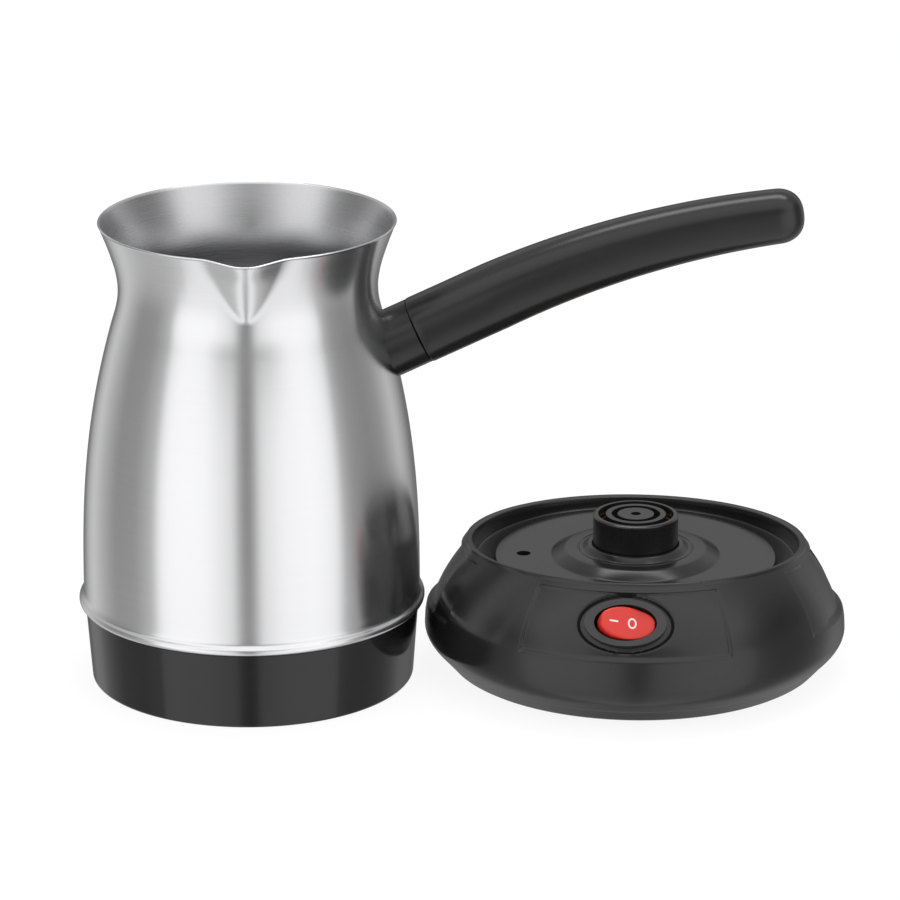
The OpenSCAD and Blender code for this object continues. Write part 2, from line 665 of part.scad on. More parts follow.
// The seat's wall and floors, which stay when the casing is hollowed; grow widens it
module seat_block(grow = 0) rotate_extrude() polygon([
    [deck_r - 1.2 - grow, channel_foot - grow], [seat_r + seat_t + grow, channel_foot - grow],
    [seat_r + seat_t + grow + seat_flare * 20, channel_foot + 20], [0, channel_foot + 20],
    [0, step_h - deck_t], [spigot_flange_r + 3, step_h - deck_t], [spigot_flange_r + 3, deck_foot],
    [deck_r - 1.2 - grow, deck_foot]]);
module seat_space() rotate_extrude() polygon([
    [collar_foot_r, step_h], [step_r - 0.8, step_h], [step_r + 0.6, deck_h], [deck_r - 0.6, deck_h],
    [deck_r, deck_h - 0.6], [deck_r, seat_h], [seat_r, seat_h],
    [seat_r + seat_flare * 20, seat_h + 20], [0, seat_h + 20], [0, collar_h],
    [collar_foot_r - 1.4, collar_h]]);
switch_seat_w = 32.7;
switch_seat_d = 20.4;
switch_seat_in = 1.2;
switch_seat_t = 1.6;
switch_cut_in = 3.4;
gland_flange_t = 1.6;
gland_seat = base_r - gland_flange_t - slip_gap;
module drain(r, z0, z1) translate([-drain_off, -drain_front, z0]) cylinder(r = r, h = z1 - z0, $fn = 32);
module base_shell() color("#262626") on_base() difference() {
    union() {
        difference() {
            casing();
            difference() {
                casing(shell_t);
                seat_block();
            }
        }
        intersection() {
            casing(1);
            union() {
                around(case_screw_ring_r, case_screw_angles) disc(boss_r, boss_foot, seat_h);
                drain(drain_r + drain_wall, base_plate_top, deck_h);
                on_switch() switch_oval(switch_seat_w + 3, switch_seat_d,
                                        -switch_seat_in - switch_seat_t, switch_seat_t);
                for (a = [0, 180]) finger_hollow(a, shell_t);
            }
        }
    }
    seat_space();
    for (a = [90, 270]) panel_cut(a);
    for (a = [0, 180]) {
        panel_cut(a);
        finger_hollow(a);
    }
    disc(spigot_r + slip_gap, deck_foot, collar_h + cut);
    around(spigot_screw_ring_r, spigot_screw_angles)
        disc(spigot_screw_r, deck_foot, spigot_flange_top + spigot_screw_in, $fn = 32);
    drain(drain_r, 0, deck_h + cut);
    around(case_screw_ring_r, case_screw_angles)
        disc(pilot_r, boss_foot - cut, boss_foot + pilot_depth, $fn = 32);
    on_switch() {
        switch_oval(switch_seat_w, switch_seat_d, -switch_seat_in, 8);
        switch_oval(switch_body_w + 2 * slip_gap, switch_body_d + 2 * slip_gap,
                    -switch_seat_in - switch_cut_in, -switch_seat_in + cut);
    }
    translate([0, 0, gland_h]) rotate([-90, 0, 0]) {
        cylinder(r = gland_r, h = base_r + cut, $fn = 48);
        translate([0, 0, gland_seat]) cylinder(r = gland_r + gland_lip, h = 10, $fn = 48);
    }
}

drain_wall = 1.6;
pilot_depth = 14;
base_plate_t = 2;
base_plate_top = foot_h + base_plate_t;
lip_h = 2.4;
screw_seat = 3;
module base_bottom() color("#222222") on_base() difference() {
    union() {
        difference() {
            rotate_extrude() polygon([[0, foot_h], [base_foot_r - 1, foot_h], [base_foot_r, foot_h + 0.6],
                [joint_r(), joint_h], [0, joint_h]]);
            disc(base_foot_r - 2.4, base_plate_top, joint_h + cut);
        }
        ring(joint_r() - shell_t - slip_gap, joint_r() - shell_t - 2.2, joint_h - 1, joint_h + lip_h);
        around(case_screw_ring_r, case_screw_angles) disc(boss_r, foot_h, boss_foot);
        for (x = [-1, 1]) translate([x * clamp_half, clamp_y, base_plate_top])
            cylinder(r = clamp_post_r, h = clamp_h - base_plate_top, $fn = 32);
    }
    around(case_screw_ring_r, case_screw_angles) {
        disc(pilot_r + slip_gap, 0, boss_foot + cut, $fn = 32);
        disc(case_screw_head + 0.2, 0, foot_h + screw_seat, $fn = 32);
    }
    around(feet_ring_r, feet_angles) disc(foot_r, foot_h - cut, foot_h + foot_in);
    drain(drain_r, 0, joint_h);
    translate([0, clamp_y + clamp_post_r, gland_h]) rotate([-90, 0, 0])
        cylinder(r = gland_r + slip_gap, h = base_r, $fn = 48);
    for (x = [-1, 1]) translate([x * clamp_half, clamp_y, base_plate_top + 1])
        cylinder(r = clamp_screw_r, h = clamp_h, $fn = 32);
}
feet_angles = [0, 90, 180, 270];
case_screw_head = 2.8;
case_screw_len = 16;
module feet() color("#111111") on_base() around(feet_ring_r, feet_angles) disc(foot_r, 0, foot_h + foot_in);
module case_screws() color("silver") on_base() around(case_screw_ring_r, case_screw_angles)
    translate([0, 0, foot_h + screw_seat]) screw(pilot_r, case_screw_len, case_screw_head, 2);

// ---------- spigot ----------

spigot_screw_ring_r = 18.6;
spigot_screw_angles = [60, 180, 300];
spigot_screw_r = 1.2;
contact_drop = 6.6;
module spigot_housing() color("#101010") on_base() difference() {
    union() {
        rotate_extrude() polygon([[0, spigot_foot], [spigot_r - stem_in, spigot_foot],
            [spigot_r - stem_in, stem_top], [spigot_r, stem_top], [spigot_r, spigot_h - 0.6],
            [spigot_r - 0.2, spigot_h - 0.2], [spigot_r - 0.6, spigot_h], [0, spigot_h]]);
        disc(spigot_flange_r, spigot_flange_top - spigot_flange_t, spigot_flange_top);
    }
    ring(outer_groove[1], outer_groove[0], groove_foot, spigot_h + cut);
    ring(inner_groove[1], inner_groove[0], groove_foot, spigot_h + cut);
    disc(earth_groove_r, groove_foot, spigot_h + cut, $fn = 32);
    around(spigot_screw_ring_r, spigot_screw_angles)
        disc(spigot_screw_r + slip_gap, spigot_foot, spigot_flange_top + cut, $fn = 32);
    outer_contact_tab();
    inner_contact_tab();
    disc(earth_tail_r, spigot_foot - cut, groove_foot + cut, $fn = 32);
}
outer_contact_r = outer_ring_r + contact_gap + contact_t;
inner_contact_r = inner_ring_r + contact_gap + contact_t;
earth_contact_r = earth_pin_r + contact_gap + contact_t;
earth_tail_r = 0.9;
module contact_tab(r) translate([-tab_w / 2, r - contact_t, contact_foot])
    cube([tab_w, contact_t, groove_foot - contact_foot + cut]);
module outer_contact_tab() contact_tab(outer_contact_r - 0.05);
module inner_contact_tab() rotate([0, 0, 180]) contact_tab(inner_contact_r - 0.05);
module spigot_outer_contact() color("goldenrod") on_base() {
    ring(outer_contact_r, outer_contact_r - contact_t, groove_foot, groove_foot + contact_drop);
    outer_contact_tab();
}
module spigot_inner_contact() color("goldenrod") on_base() {
    ring(inner_contact_r, inner_contact_r - contact_t, groove_foot, groove_foot + contact_drop);
    inner_contact_tab();
}
module spigot_earth_contact() color("goldenrod") on_base() {
    ring(earth_contact_r, earth_contact_r - contact_t, groove_foot, groove_foot + contact_drop, $fn = 32);
    disc(earth_tail_r, contact_foot, groove_foot, $fn = 32);
    disc(earth_contact_r, groove_foot, groove_foot + contact_t, $fn = 32);
}
spigot_screw_in = 1.7;
spigot_screw_head = [2.3, 1.4];
module spigot_screws() color("silver") on_base() around(spigot_screw_ring_r, spigot_screw_angles)
    translate([0, 0, spigot_flange_top - spigot_flange_t])
        screw(spigot_screw_r, spigot_flange_t + spigot_screw_in, spigot_screw_head[0], spigot_screw_head[1]);

// ---------- switch ----------

cavity_w = rocker_w + 2.9;
cavity_d = rocker_d + 1.3;
switch_wall = 0.95;
switch_body_w = cavity_w + 2 * switch_wall + 0.9;
switch_body_d = cavity_d + 2 * switch_wall;
switch_body_in = 12.6;
switch_floor_t = 1.2;
face_z = flange_t - switch_seat_in;
pivot_z = face_z - pivot_in;
rocker_round = rocker_w / 2 + 0.35;
opening_gap = 0.6;
cavity_in = 7;
web_y = 2.4;
lever_pin_y = [-switch_body_d / 2 + 0.1, 3.9];
lever_pivot_z = pivot_z - 6.7;
lever_top = lever_pivot_z + 1.4;
lever_l = 12;
lever_w = 3.6;
lever_pin_r = 0.8;
rest_tip = rocker_tip;
module switch_oval(w, d, z0, z1) translate([0, 0, z0]) linear_extrude(z1 - z0) polygon(oval(w, d));
module switch_block() {
    switch_oval(flange_w, flange_d, -switch_seat_in, face_z);
    switch_oval(switch_body_w, switch_body_d, -switch_body_in, -switch_seat_in);
}
// The rocker's space is open at its upper inner corner, where the seat's wall closes it; the
// lever's space below it ends at a web that carries the lever's pin
module switch_cavity() difference() {
    switch_oval(cavity_w, cavity_d, -switch_body_in + switch_floor_t, -switch_seat_in);
    translate([-cavity_w, web_y, -switch_body_in]) cube([2 * cavity_w, cavity_d, switch_body_in - cavity_in]);
}
module switch_housing() color("#242424") on_base() difference() {
    on_switch() switch_block();
    seat_block(body_gap);
    on_switch() {
        switch_cavity();
        switch_oval(rocker_w + 2 * opening_gap, rocker_d + 2 * opening_gap - 0.2,
                    -switch_seat_in - cut, face_z + cut);
        translate([0, 0, pivot_z]) rotate([90, 0, 0])
            cylinder(r = trunnion_r + pivot_gap, h = switch_body_d + cut, center = true, $fn = 32);
        translate([0, 0, lever_pivot_z]) rotate([90, 0, 0])
            cylinder(r = lever_pin_r + pivot_gap, h = switch_body_d + cut, center = true, $fn = 32);
        terminal_slots();
    }
}
terminal_x = [-7.4, 7.4];
terminal_w = 4.8;
terminal_t = 0.8;
terminal_y = -3.4;
module terminal_slots() for (x = concat(terminal_x, [0]))
    translate([x - terminal_t / 2, terminal_y, -switch_body_in - cut]) cube([terminal_t, terminal_w, 3]);

// The rocker about its own pivot, level, then tipped to its rest. It is what two upright ovals
// have in common, one for each tipped position, so it clears the opening in both
module rocker_prism(tip) rotate([0, tip, 0]) translate([0, 0, -10]) linear_extrude(20)
    polygon(oval(rocker_w, rocker_d));
module rocker_level() difference() {
    union() {
        intersection() {
            rocker_prism(rocker_tip);
            rocker_prism(-rocker_tip);
            translate([-rocker_w, -rocker_d, -rocker_foot]) cube([2 * rocker_w, 2 * rocker_d, 10]);
            rotate([90, 0, 0]) cylinder(r = rocker_round, h = rocker_d + 2, center = true);
            rotate([90, 0, 0]) linear_extrude(rocker_d + 2, center = true)
                polygon([[-rocker_w, -4], [rocker_w, -4], [rocker_w, rocker_top + rocker_w * tan(rocker_tip)],
                         [0, rocker_top], [-rocker_w, rocker_top + rocker_w * tan(rocker_tip)]]);
        }
        rotate([90, 0, 0]) cylinder(r = trunnion_r, h = switch_body_d - 0.2, center = true, $fn = 32);
        translate([0, 0, -4]) cylinder(r = 2, h = 2, $fn = 32);
    }
    translate([0, 0, -4 - cut]) cylinder(r = plunger_r + pivot_gap, h = 6 + cut, $fn = 32);
    lamp_space();
}
rocker_top = pivot_in - 0.25;
rocker_foot = 2.2;
plunger_r = 0.9;
plunger_tip = 5.2;
spring_r = 0.75;
lamp_r = 1.4;
lamp_x = -5.6;
module lamp_space() translate([lamp_x - 2.6, -lamp_r, -3 - cut]) cube([5.2, 2 * lamp_r, 4 + cut]);
module rocker_frame() on_base() on_switch() translate([0, 0, pivot_z]) rotate([0, rest_tip, 0]) children();
module rocker() color("red") rocker_frame() rocker_level();
module rocker_plunger() color("ivory") rocker_frame() {
    translate([0, 0, -plunger_tip + plunger_r]) cylinder(r = plunger_r, h = 3.2, $fn = 32);
    translate([0, 0, -plunger_tip + plunger_r]) sphere(r = plunger_r, $fn = 32);
}
module plunger_spring() color("silver") rocker_frame()
    ring(spring_r, spring_r - 0.3, -plunger_tip + plunger_r + 3.2, 2, $fn = 32);
module neon_lamp() color("orange") rocker_frame() translate([lamp_x - 2.4, 0, -0.4])
    rotate([0, 90, 0]) cylinder(r = lamp_r, h = 4.8, $fn = 32);

lever_tip = -lever_ratio * rest_tip;
module contact_lever() color("goldenrod") on_base() on_switch() translate([0, 0, lever_pivot_z])
    rotate([0, lever_tip, 0]) {
        translate([-lever_l / 2, -lever_w / 2, lever_top - lever_pivot_z - lever_t])
            cube([lever_l, lever_w, lever_t]);
        translate([-lever_pin_r, -lever_w / 2, 0])
            cube([2 * lever_pin_r, lever_w, lever_top - lever_pivot_z - lever_t / 2]);
        translate([0, lever_pin_y[1], 0]) rotate([90, 0, 0])
            cylinder(r = lever_pin_r, h = lever_pin_y[1] - lever_pin_y[0], $fn = 32);
    }
lever_t = 0.6;
terminal_len = 8;
terminal_in = 1.2;
module switch_terminals() color("goldenrod") on_base() on_switch() for (x = concat(terminal_x, [0])) {
    translate([x - terminal_t / 2, terminal_y, -switch_body_in - terminal_len])
        cube([terminal_t, terminal_w, terminal_len + terminal_in]);
}

// ---------- wiring and cord inlet ----------

block_y = 27;
block_w = 26;
block_d = 9;
block_h = 9;
way_x = 8;
way_r = 1.6;
way_z = base_plate_top + 4;
way_screw_r = 1.5;
way_screw_h = 2.8;
module terminal_block() color("ivory") on_base() difference() {
    translate([-block_w / 2, block_y, base_plate_top]) cube([block_w, block_d, block_h]);
    for (x = [-way_x, 0, way_x]) {
        translate([x, block_y - cut, way_z]) rotate([-90, 0, 0])
            cylinder(r = way_r, h = block_d + 2 * cut, $fn = 32);
        translate([x, block_y + block_d / 2, way_z]) cylinder(r = way_screw_r, h = block_h, $fn = 32);
    }
}
module terminal_screws() color("silver") on_base() for (x = [-way_x, 0, way_x])
    translate([x, block_y + block_d / 2, way_z + way_r]) cylinder(r = way_screw_r, h = way_screw_h, $fn = 32);

// A place in the switch's frame, in the base's frame
function from_switch(p) = [p[0], -switch_off + p[1] * sin(switch_lean) - p[2] * cos(switch_lean),
                           switch_h + p[1] * cos(switch_lean) + p[2] * sin(switch_lean)];
module base_leads() color("saddlebrown") on_base() {
    block_in = block_y + way_r;
    blade_x = terminal_x[1] + terminal_t / 2 + lead_r;
    blade_z = -switch_body_in - terminal_len + lead_r;
    outer_y = outer_contact_r + lead_r - 0.05;
    inner_y = inner_contact_r + lead_r - 0.05;
    low = contact_foot - 2;
    high = contact_foot + 2;
    // block to switch
    wire([[-way_x, block_in, way_z], [-way_x, block_y - 7, way_z], [-24, 8, way_z + 0.6],
          [-24, -20, way_z + 3.6], from_switch([-blade_x, -1, blade_z - 5]),
          from_switch([-blade_x, -1, blade_z])], lead_r);
    // switch to the spigot's outer contact
    wire([from_switch([blade_x, -1, blade_z]), from_switch([blade_x, -1, blade_z - 5]),
          [18, -8, low - 6], [0, outer_y, low - 1], [0, outer_y, high]], lead_r);
    // block to the spigot's inner contact
    wire([[way_x, block_in, way_z], [way_x, block_y - 9, way_z], [0, -inner_y, low - 4],
          [0, -inner_y, high]], lead_r);
    // block to the spigot's earth contact
    wire([[0, block_in, way_z], [0, block_y - 9, way_z + 2], [0, 2, low - 5], [0, 0, low],
          [0, 0, contact_foot]], lead_r);
}

gland_len = 10;
module cord_gland() color("#1a1a1a") on_base() translate([0, 0, gland_h]) rotate([-90, 0, 0]) difference() {
    union() {
        translate([0, 0, gland_seat])
            cylinder(r = gland_r + gland_lip - 2 * slip_gap, h = gland_flange_t, $fn = 48);
        translate([0, 0, gland_seat - gland_len + gland_flange_t])
            cylinder(r = gland_r - slip_gap, h = gland_len, $fn = 48);
    }
    translate([0, 0, gland_seat - gland_len]) cylinder(r = cord_hole_r, h = gland_len + 5, $fn = 48);
}
gland_lip = 1.1;

// The clamp bridges the cord's way in on two posts
clamp_y = 50;
clamp_half = 9;
clamp_post_r = 3;
clamp_t = 2.4;
clamp_h = gland_h - cord_hole_r - 0.6;
clamp_bar_h = gland_h + cord_hole_r;
clamp_screw_r = 1.3;
clamp_screw_in = 4.6;
module cord_clamp() color("#303030") on_base() difference() {
    union() {
        translate([-clamp_half, clamp_y - clamp_post_r, clamp_bar_h])
            cube([2 * clamp_half, 2 * clamp_post_r, clamp_t]);
        for (x = [-1, 1]) translate([x * clamp_half, clamp_y, clamp_h])
            cylinder(r = clamp_post_r, h = clamp_bar_h + clamp_t - clamp_h, $fn = 32);
    }
    for (x = [-1, 1]) translate([x * clamp_half, clamp_y, clamp_h - cut])
        cylinder(r = clamp_screw_r + slip_gap, h = clamp_bar_h + clamp_t - clamp_h + 2 * cut, $fn = 32);
}
module clamp_screws() color("silver") on_base() for (x = [-1, 1])
    translate([x * clamp_half, clamp_y, clamp_bar_h + clamp_t]) rotate([180, 0, 0])
        screw(clamp_screw_r, clamp_bar_h + clamp_t - clamp_h + clamp_screw_in, 2.3, 1.4);

vessel();
heating_plate();
heat_spreader();
heating_element();
element_pins();
socket_body();
socket_outer_ring();
socket_inner_ring();
earth_pin();
earth_strap();
socket_nuts();
thermostat_disc();
cutout_pin();
cutout_blade();
cutout_terminal();
element_leads();
skirt();
skirt_gasket();
bottom_cover();
cover_screws();
handle_bracket();
handle_collar();
handle_insert();
handle_grip();
base_shell();
base_bottom();
feet();
case_screws();
spigot_housing();
spigot_outer_contact();
spigot_inner_contact();
spigot_earth_contact();
spigot_screws();
switch_housing();
rocker();
rocker_plunger();
plunger_spring();
neon_lamp();
contact_lever();
switch_terminals();
terminal_block();
terminal_screws();
base_leads();
cord_gland();
cord_clamp();
clamp_screws();
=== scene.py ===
"""Looks of the cordless coffee pot and its power base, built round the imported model.

Lengths are written in millimetres, as in the part's source, and MM turns them into metres.
"""
import json
import math

import bmesh
import bpy
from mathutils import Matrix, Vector


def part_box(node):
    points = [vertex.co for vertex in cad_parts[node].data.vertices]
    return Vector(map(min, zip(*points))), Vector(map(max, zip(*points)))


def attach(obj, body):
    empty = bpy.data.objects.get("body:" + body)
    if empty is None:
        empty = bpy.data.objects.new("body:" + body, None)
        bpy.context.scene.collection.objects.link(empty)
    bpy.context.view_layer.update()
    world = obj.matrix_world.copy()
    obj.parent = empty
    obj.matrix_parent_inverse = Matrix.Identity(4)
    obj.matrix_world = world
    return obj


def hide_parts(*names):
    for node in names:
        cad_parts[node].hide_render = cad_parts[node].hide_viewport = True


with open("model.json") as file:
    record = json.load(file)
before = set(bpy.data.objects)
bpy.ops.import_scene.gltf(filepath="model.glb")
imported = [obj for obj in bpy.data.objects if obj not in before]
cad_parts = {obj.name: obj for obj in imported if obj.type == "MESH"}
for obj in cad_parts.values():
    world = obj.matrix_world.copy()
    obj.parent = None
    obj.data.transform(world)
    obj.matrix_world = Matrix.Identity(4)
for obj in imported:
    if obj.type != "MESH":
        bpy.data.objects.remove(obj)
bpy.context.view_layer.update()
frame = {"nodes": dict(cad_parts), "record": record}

MM = 0.001

# ---------- dimensions that the visible surfaces share with the part ----------

RIM_H, RIM_R = 159.4, 49.6
NECK_R, NECK_H = 43.3, 136.5
BELLY_R, STEEL_T = 57.0, 0.8
SEAM_H, BEAD_H, BEAD_OUT = 28.0, 3.0, 1.6
FLOOR_TOP = SEAM_H + 0.6
SPOUT_DROP, SPOUT_HALF, SPOUT_BLEND = 22.9, 14.2, 0.7
SPOUT_TURN, SPOUT_SLOPE, SPOUT_NOSE, LIP_DIP = math.radians(1.6), 0.58, 3.4, 1.2

HANDLE_ROOT_H, HANDLE_RISE, HANDLE_TIP_RISE = 116.8, 25.2, 7.5
HANDLE_STRAIGHT, HANDLE_CURVE, HANDLE_CAP = 38.0, 98.0, 8.8
GRIP_ROOT_HALF, GRIP_TIP_HALF, GRIP_FLAT = 11.4, 9.1, 0.92
COLLAR_LEN = 10.0

FACE_TURN = math.radians(5)
BASE_R, BASE_WIDE_H, BASE_FOOT_R = 71.8, 14.5, 63.6
JOINT_H = 6.7
SHELL_LEAN, LEAN_PIVOT_H = math.radians(4), 30.0
RIM_TOP_H, COLLAR_RIM_R, SHELL_T = 44.3, 58.0, 2.4
RIM_ROUND = 0.8
SPLIT_H = 18.5
PANEL_IN, PANEL_HALF, PANEL_LEDGE_H, PANEL_TOP_IN = 0.9, 29.5, 22.0, 2.5
HOLLOW_IN, HOLLOW_HALF = 1.0, 17.0
DECK_H, DECK_R, CHANNEL_IN = 38.6, 48.0, 2.2
SEAT_R, SEAT_FLARE = 54.95, 0.0734
STEP_R, STEP_RISE, STEP_SLOPE, COLLAR_R, COLLAR_RISE = 28.4, 2.6, 4.4, 17.6, 1.8
DRAIN_X, DRAIN_Y, DRAIN_R, DRAIN_T = -38.0, -2.5, 2.4, 1.6
SPIGOT_R = 14.5

SWITCH_OFF, SWITCH_H, SWITCH_LEAN = 64.48, 37.3, math.radians(41)
SWITCH_BODY_W, SWITCH_BODY_D = 25.2, 14.9
SWITCH_SEAT_W, SWITCH_SEAT_D, SWITCH_SEAT_DEEP = 32.7, 20.4, 1.25
PIVOT_Z, ROCKER_TIP, ROCKER_W, ROCKER_D = -2.9, math.radians(12), 19.5, 11.7


def middle(node):
    """The middle of a node's box seen from above, in millimetres."""
    low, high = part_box(node)
    return (low.x + high.x) / 2 / MM, (low.y + high.y) / 2 / MM


POT_X, POT_Y = middle("heating_plate")
BASE_X, BASE_Y = middle("spigot_housing")


# ---------- curves and meshes ----------

def mix(a, b, t):
    return a + (b - a) * t


def smooth_step(low, high, x):
    t = min(1.0, max(0.0, (x - low) / (high - low)))
    return t * t * (3 - 2 * t)


def smooth_max(a, b, k):
    """The larger of two numbers, with a blend of width k where they are alike."""
    h = min(1.0, max(0.0, 0.5 + 0.5 * (a - b) / k))
    return mix(b, a, h) + k * h * (1 - h)


def bezier(p, n, first=0):
    """n steps along a cubic curve through four points in a plane."""
    points = []
    for i in range(first, n + 1):
        t = i / n
        w = ((1 - t) ** 3, 3 * (1 - t) ** 2 * t, 3 * (1 - t) * t * t, t ** 3)
        points.append(tuple(sum(a * q[k] for a, q in zip(w, p)) for k in (0, 1)))
    return points


def arc(centre, radius, start, stop, n):
    """n steps along an arc in a plane, angles in degrees."""
    angles = [math.radians(mix(start, stop, i / n)) for i in range(n + 1)]
    return [(centre[0] + radius * math.cos(a), centre[1] + radius * math.sin(a)) for a in angles]


def new_piece(name, points, faces, body, material, sharp=35.0):
    """A mesh piece from points in millimetres, shaded smooth except at edges sharper than an angle."""
    mesh = bpy.data.meshes.new(name)
    mesh.from_pydata([Vector(p) * MM for p in points], [], faces)
    mesh.validate()
    bm = bmesh.new()
    bm.from_mesh(mesh)
    bmesh.ops.recalc_face_normals(bm, faces=bm.faces)
    for face in bm.faces:
        face.smooth = True
    for edge in bm.edges:
        if len(edge.link_faces) == 2 and edge.calc_face_angle() > math.radians(sharp):
            edge.smooth = False
    bm.to_mesh(mesh)
    bm.free()
    piece = bpy.data.objects.new(name, mesh)
    bpy.context.scene.collection.objects.link(piece)
    mesh.materials.append(material)
    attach(piece, body)
    return piece


def lofted(rings, looped=False):
    """Points and faces of a skin through rings of equal size; looped joins the last ring to the first,
    otherwise both ends are closed with a face."""
    n = len(rings[0])
    points = [p for ring in rings for p in ring]
    faces = []
    for j in range(len(rings) if looped else len(rings) - 1):
        a, b = j * n, (j + 1) % len(rings) * n
        faces += [(a + i, a + (i + 1) % n, b + (i + 1) % n, b + i) for i in range(n)]
    if not looped:
        faces.append(tuple(range(n - 1, -1, -1)))
        faces.append(tuple(range((len(rings) - 1) * n, len(rings) * n)))
    return points, faces


# ---------- materials ----------

def shader(name):
    """A new material, its node tree and its main shader."""
    material = bpy.data.materials.new(name)
    material.use_nodes = True
    tree = material.node_tree
    return material, tree, tree.nodes["Principled BSDF"]


def link(tree, source, output, target, socket):
    tree.links.new(source.outputs[output], target.inputs[socket])


def noise(tree, scale, detail=3.0, stretch=(1, 1, 1)):
    """Noise in the object's own space; stretch squeezes it along an axis."""
    place = tree.nodes.new("ShaderNodeTexCoord")
    mapping = tree.nodes.new("ShaderNodeMapping")
    mapping.inputs["Scale"].default_value = stretch
    texture = tree.nodes.new("ShaderNodeTexNoise")
    texture.inputs["Scale"].default_value = scale
    texture.inputs["Detail"].default_value = detail
    link(tree, place, "Object", mapping, "Vector")
    link(tree, mapping, "Vector", texture, "Vector")
    return texture


def vary_colour(tree, main, texture, colour, spread):
    """Base colour between two near shades of one colour."""
    ramp = tree.nodes.new("ShaderNodeValToRGB")
    ramp.color_ramp.elements[0].position = 0.3
    ramp.color_ramp.elements[1].position = 0.7
    ramp.color_ramp.elements[0].color = (*[c * (1 - spread) for c in colour], 1)
    ramp.color_ramp.elements[1].color = (*[min(1, c * (1 + spread)) for c in colour], 1)
    link(tree, texture, "Fac", ramp, "Fac")
    link(tree, ramp, "Color", main, "Base Color")


def vary_roughness(tree, main, texture, low, high):
    span = tree.nodes.new("ShaderNodeMapRange")
    span.inputs["From Min"].default_value = 0.3
    span.inputs["From Max"].default_value = 0.7
    span.inputs["To Min"].default_value = low
    span.inputs["To Max"].default_value = high
    link(tree, texture, "Fac", span, "Value")
    link(tree, span, "Result", main, "Roughness")


def bump(tree, main, texture, height):
    """Bump of a height in millimetres."""
    node = tree.nodes.new("ShaderNodeBump")
    node.inputs["Distance"].default_value = height * MM
    link(tree, texture, "Fac", node, "Height")
    link(tree, node, "Normal", main, "Normal")


def plastic(name, colour, rough, grain=0.004, grain_scale=2500):
    """Moulded plastic or rubber: fine grain, slow changes of gloss, slight changes of colour."""
    material, tree, main = shader(name)
    slow = noise(tree, 45)
    vary_colour(tree, main, slow, colour, 0.08)
    vary_roughness(tree, main, slow, rough * 0.92, rough * 1.1)
    bump(tree, main, noise(tree, grain_scale, 2), grain)
    return material


def metal(name, colour, rough, grain=0.003, stretch=(1, 1, 1), anisotropic=0.0):
    """Metal with fine marks; stretch draws the marks out into brush lines."""
    material, tree, main = shader(name)
    main.inputs["Metallic"].default_value = 1.0
    lines = noise(tree, 60, 6, stretch)
    vary_colour(tree, main, lines, colour, 0.03)
    vary_roughness(tree, main, lines, rough * 0.85, rough * 1.15)
    bump(tree, main, lines, grain)
    if anisotropic:
        main.inputs["Anisotropic"].default_value = anisotropic
        main.inputs["Anisotropic Rotation"].default_value = 0.25
        tangent = tree.nodes.new("ShaderNodeTangent")
        tangent.direction_type = "RADIAL"
        tangent.axis = "Z"
        link(tree, tangent, "Tangent", main, "Tangent")
    return material


BRUSHED = metal("brushed_steel", (0.74, 0.74, 0.75), 0.22, 0.0008, (0.5, 0.5, 240), 0.6)
# the pot's inside: the same brushed steel as the outside, with a darker colour that is painted shade
SHADED_INSIDE_STEEL = metal("inside_steel_painted_shade", (0.58, 0.58, 0.59), 0.28, 0.0008, (0.5, 0.5, 240), 0.4)
FLOOR_STEEL = metal("floor_steel", (0.66, 0.66, 0.67), 0.3)
ALUMINIUM = metal("spreader_aluminium", (0.78, 0.78, 0.79), 0.38, 0.006)
SHEATH = metal("element_sheath", (0.33, 0.32, 0.31), 0.45, 0.006)
BRASS = metal("contact_brass", (0.78, 0.6, 0.3), 0.28)
ZINC = metal("zinc_steel", (0.72, 0.73, 0.74), 0.22)
BIMETAL = metal("bimetal", (0.62, 0.52, 0.38), 0.3)
HEATPROOF = plastic("heatproof_plastic", (0.05, 0.05, 0.05), 0.55)
IVORY = plastic("ivory_plastic", (0.86, 0.83, 0.74), 0.4)
LEAD = plastic("lead_insulation", (0.45, 0.24, 0.12), 0.5)
GLOSS_BLACK = plastic("gloss_black", (0.008, 0.008, 0.008), 0.09, 0.0004, 600)
SEAL = plastic("seal_rubber", (0.09, 0.09, 0.09), 0.7)
SATIN_BLACK = plastic("satin_black", (0.02, 0.02, 0.02), 0.4)
HANDLE_BLACK = plastic("handle_black", (0.012, 0.012, 0.012), 0.24, 0.001, 1800)
BASE_BLACK = plastic("base_black", (0.014, 0.014, 0.015), 0.2, 0.001, 2200)
FOOT_RUBBER = plastic("foot_rubber", (0.03, 0.03, 0.03), 0.75)
SPIGOT_BLACK = plastic("spigot_black", (0.015, 0.015, 0.015), 0.2, 0.001, 900)
SWITCH_BLACK = plastic("switch_black", (0.03, 0.03, 0.03), 0.32)
ROCKER_RED = plastic("rocker_red", (0.72, 0.028, 0.018), 0.24, 0.001, 900)
MARK_WHITE = plastic("mark_white", (0.9, 0.84, 0.82), 0.45)


def glass(name, colour, rough):
    material, tree, main = shader(name)
    vary_colour(tree, main, noise(tree, 200), colour, 0.04)
    main.inputs["Roughness"].default_value = rough
    main.inputs["Transmission Weight"].default_value = 0.7
    return material


LAMP = glass("lamp_glass", (0.95, 0.75, 0.55), 0.1)

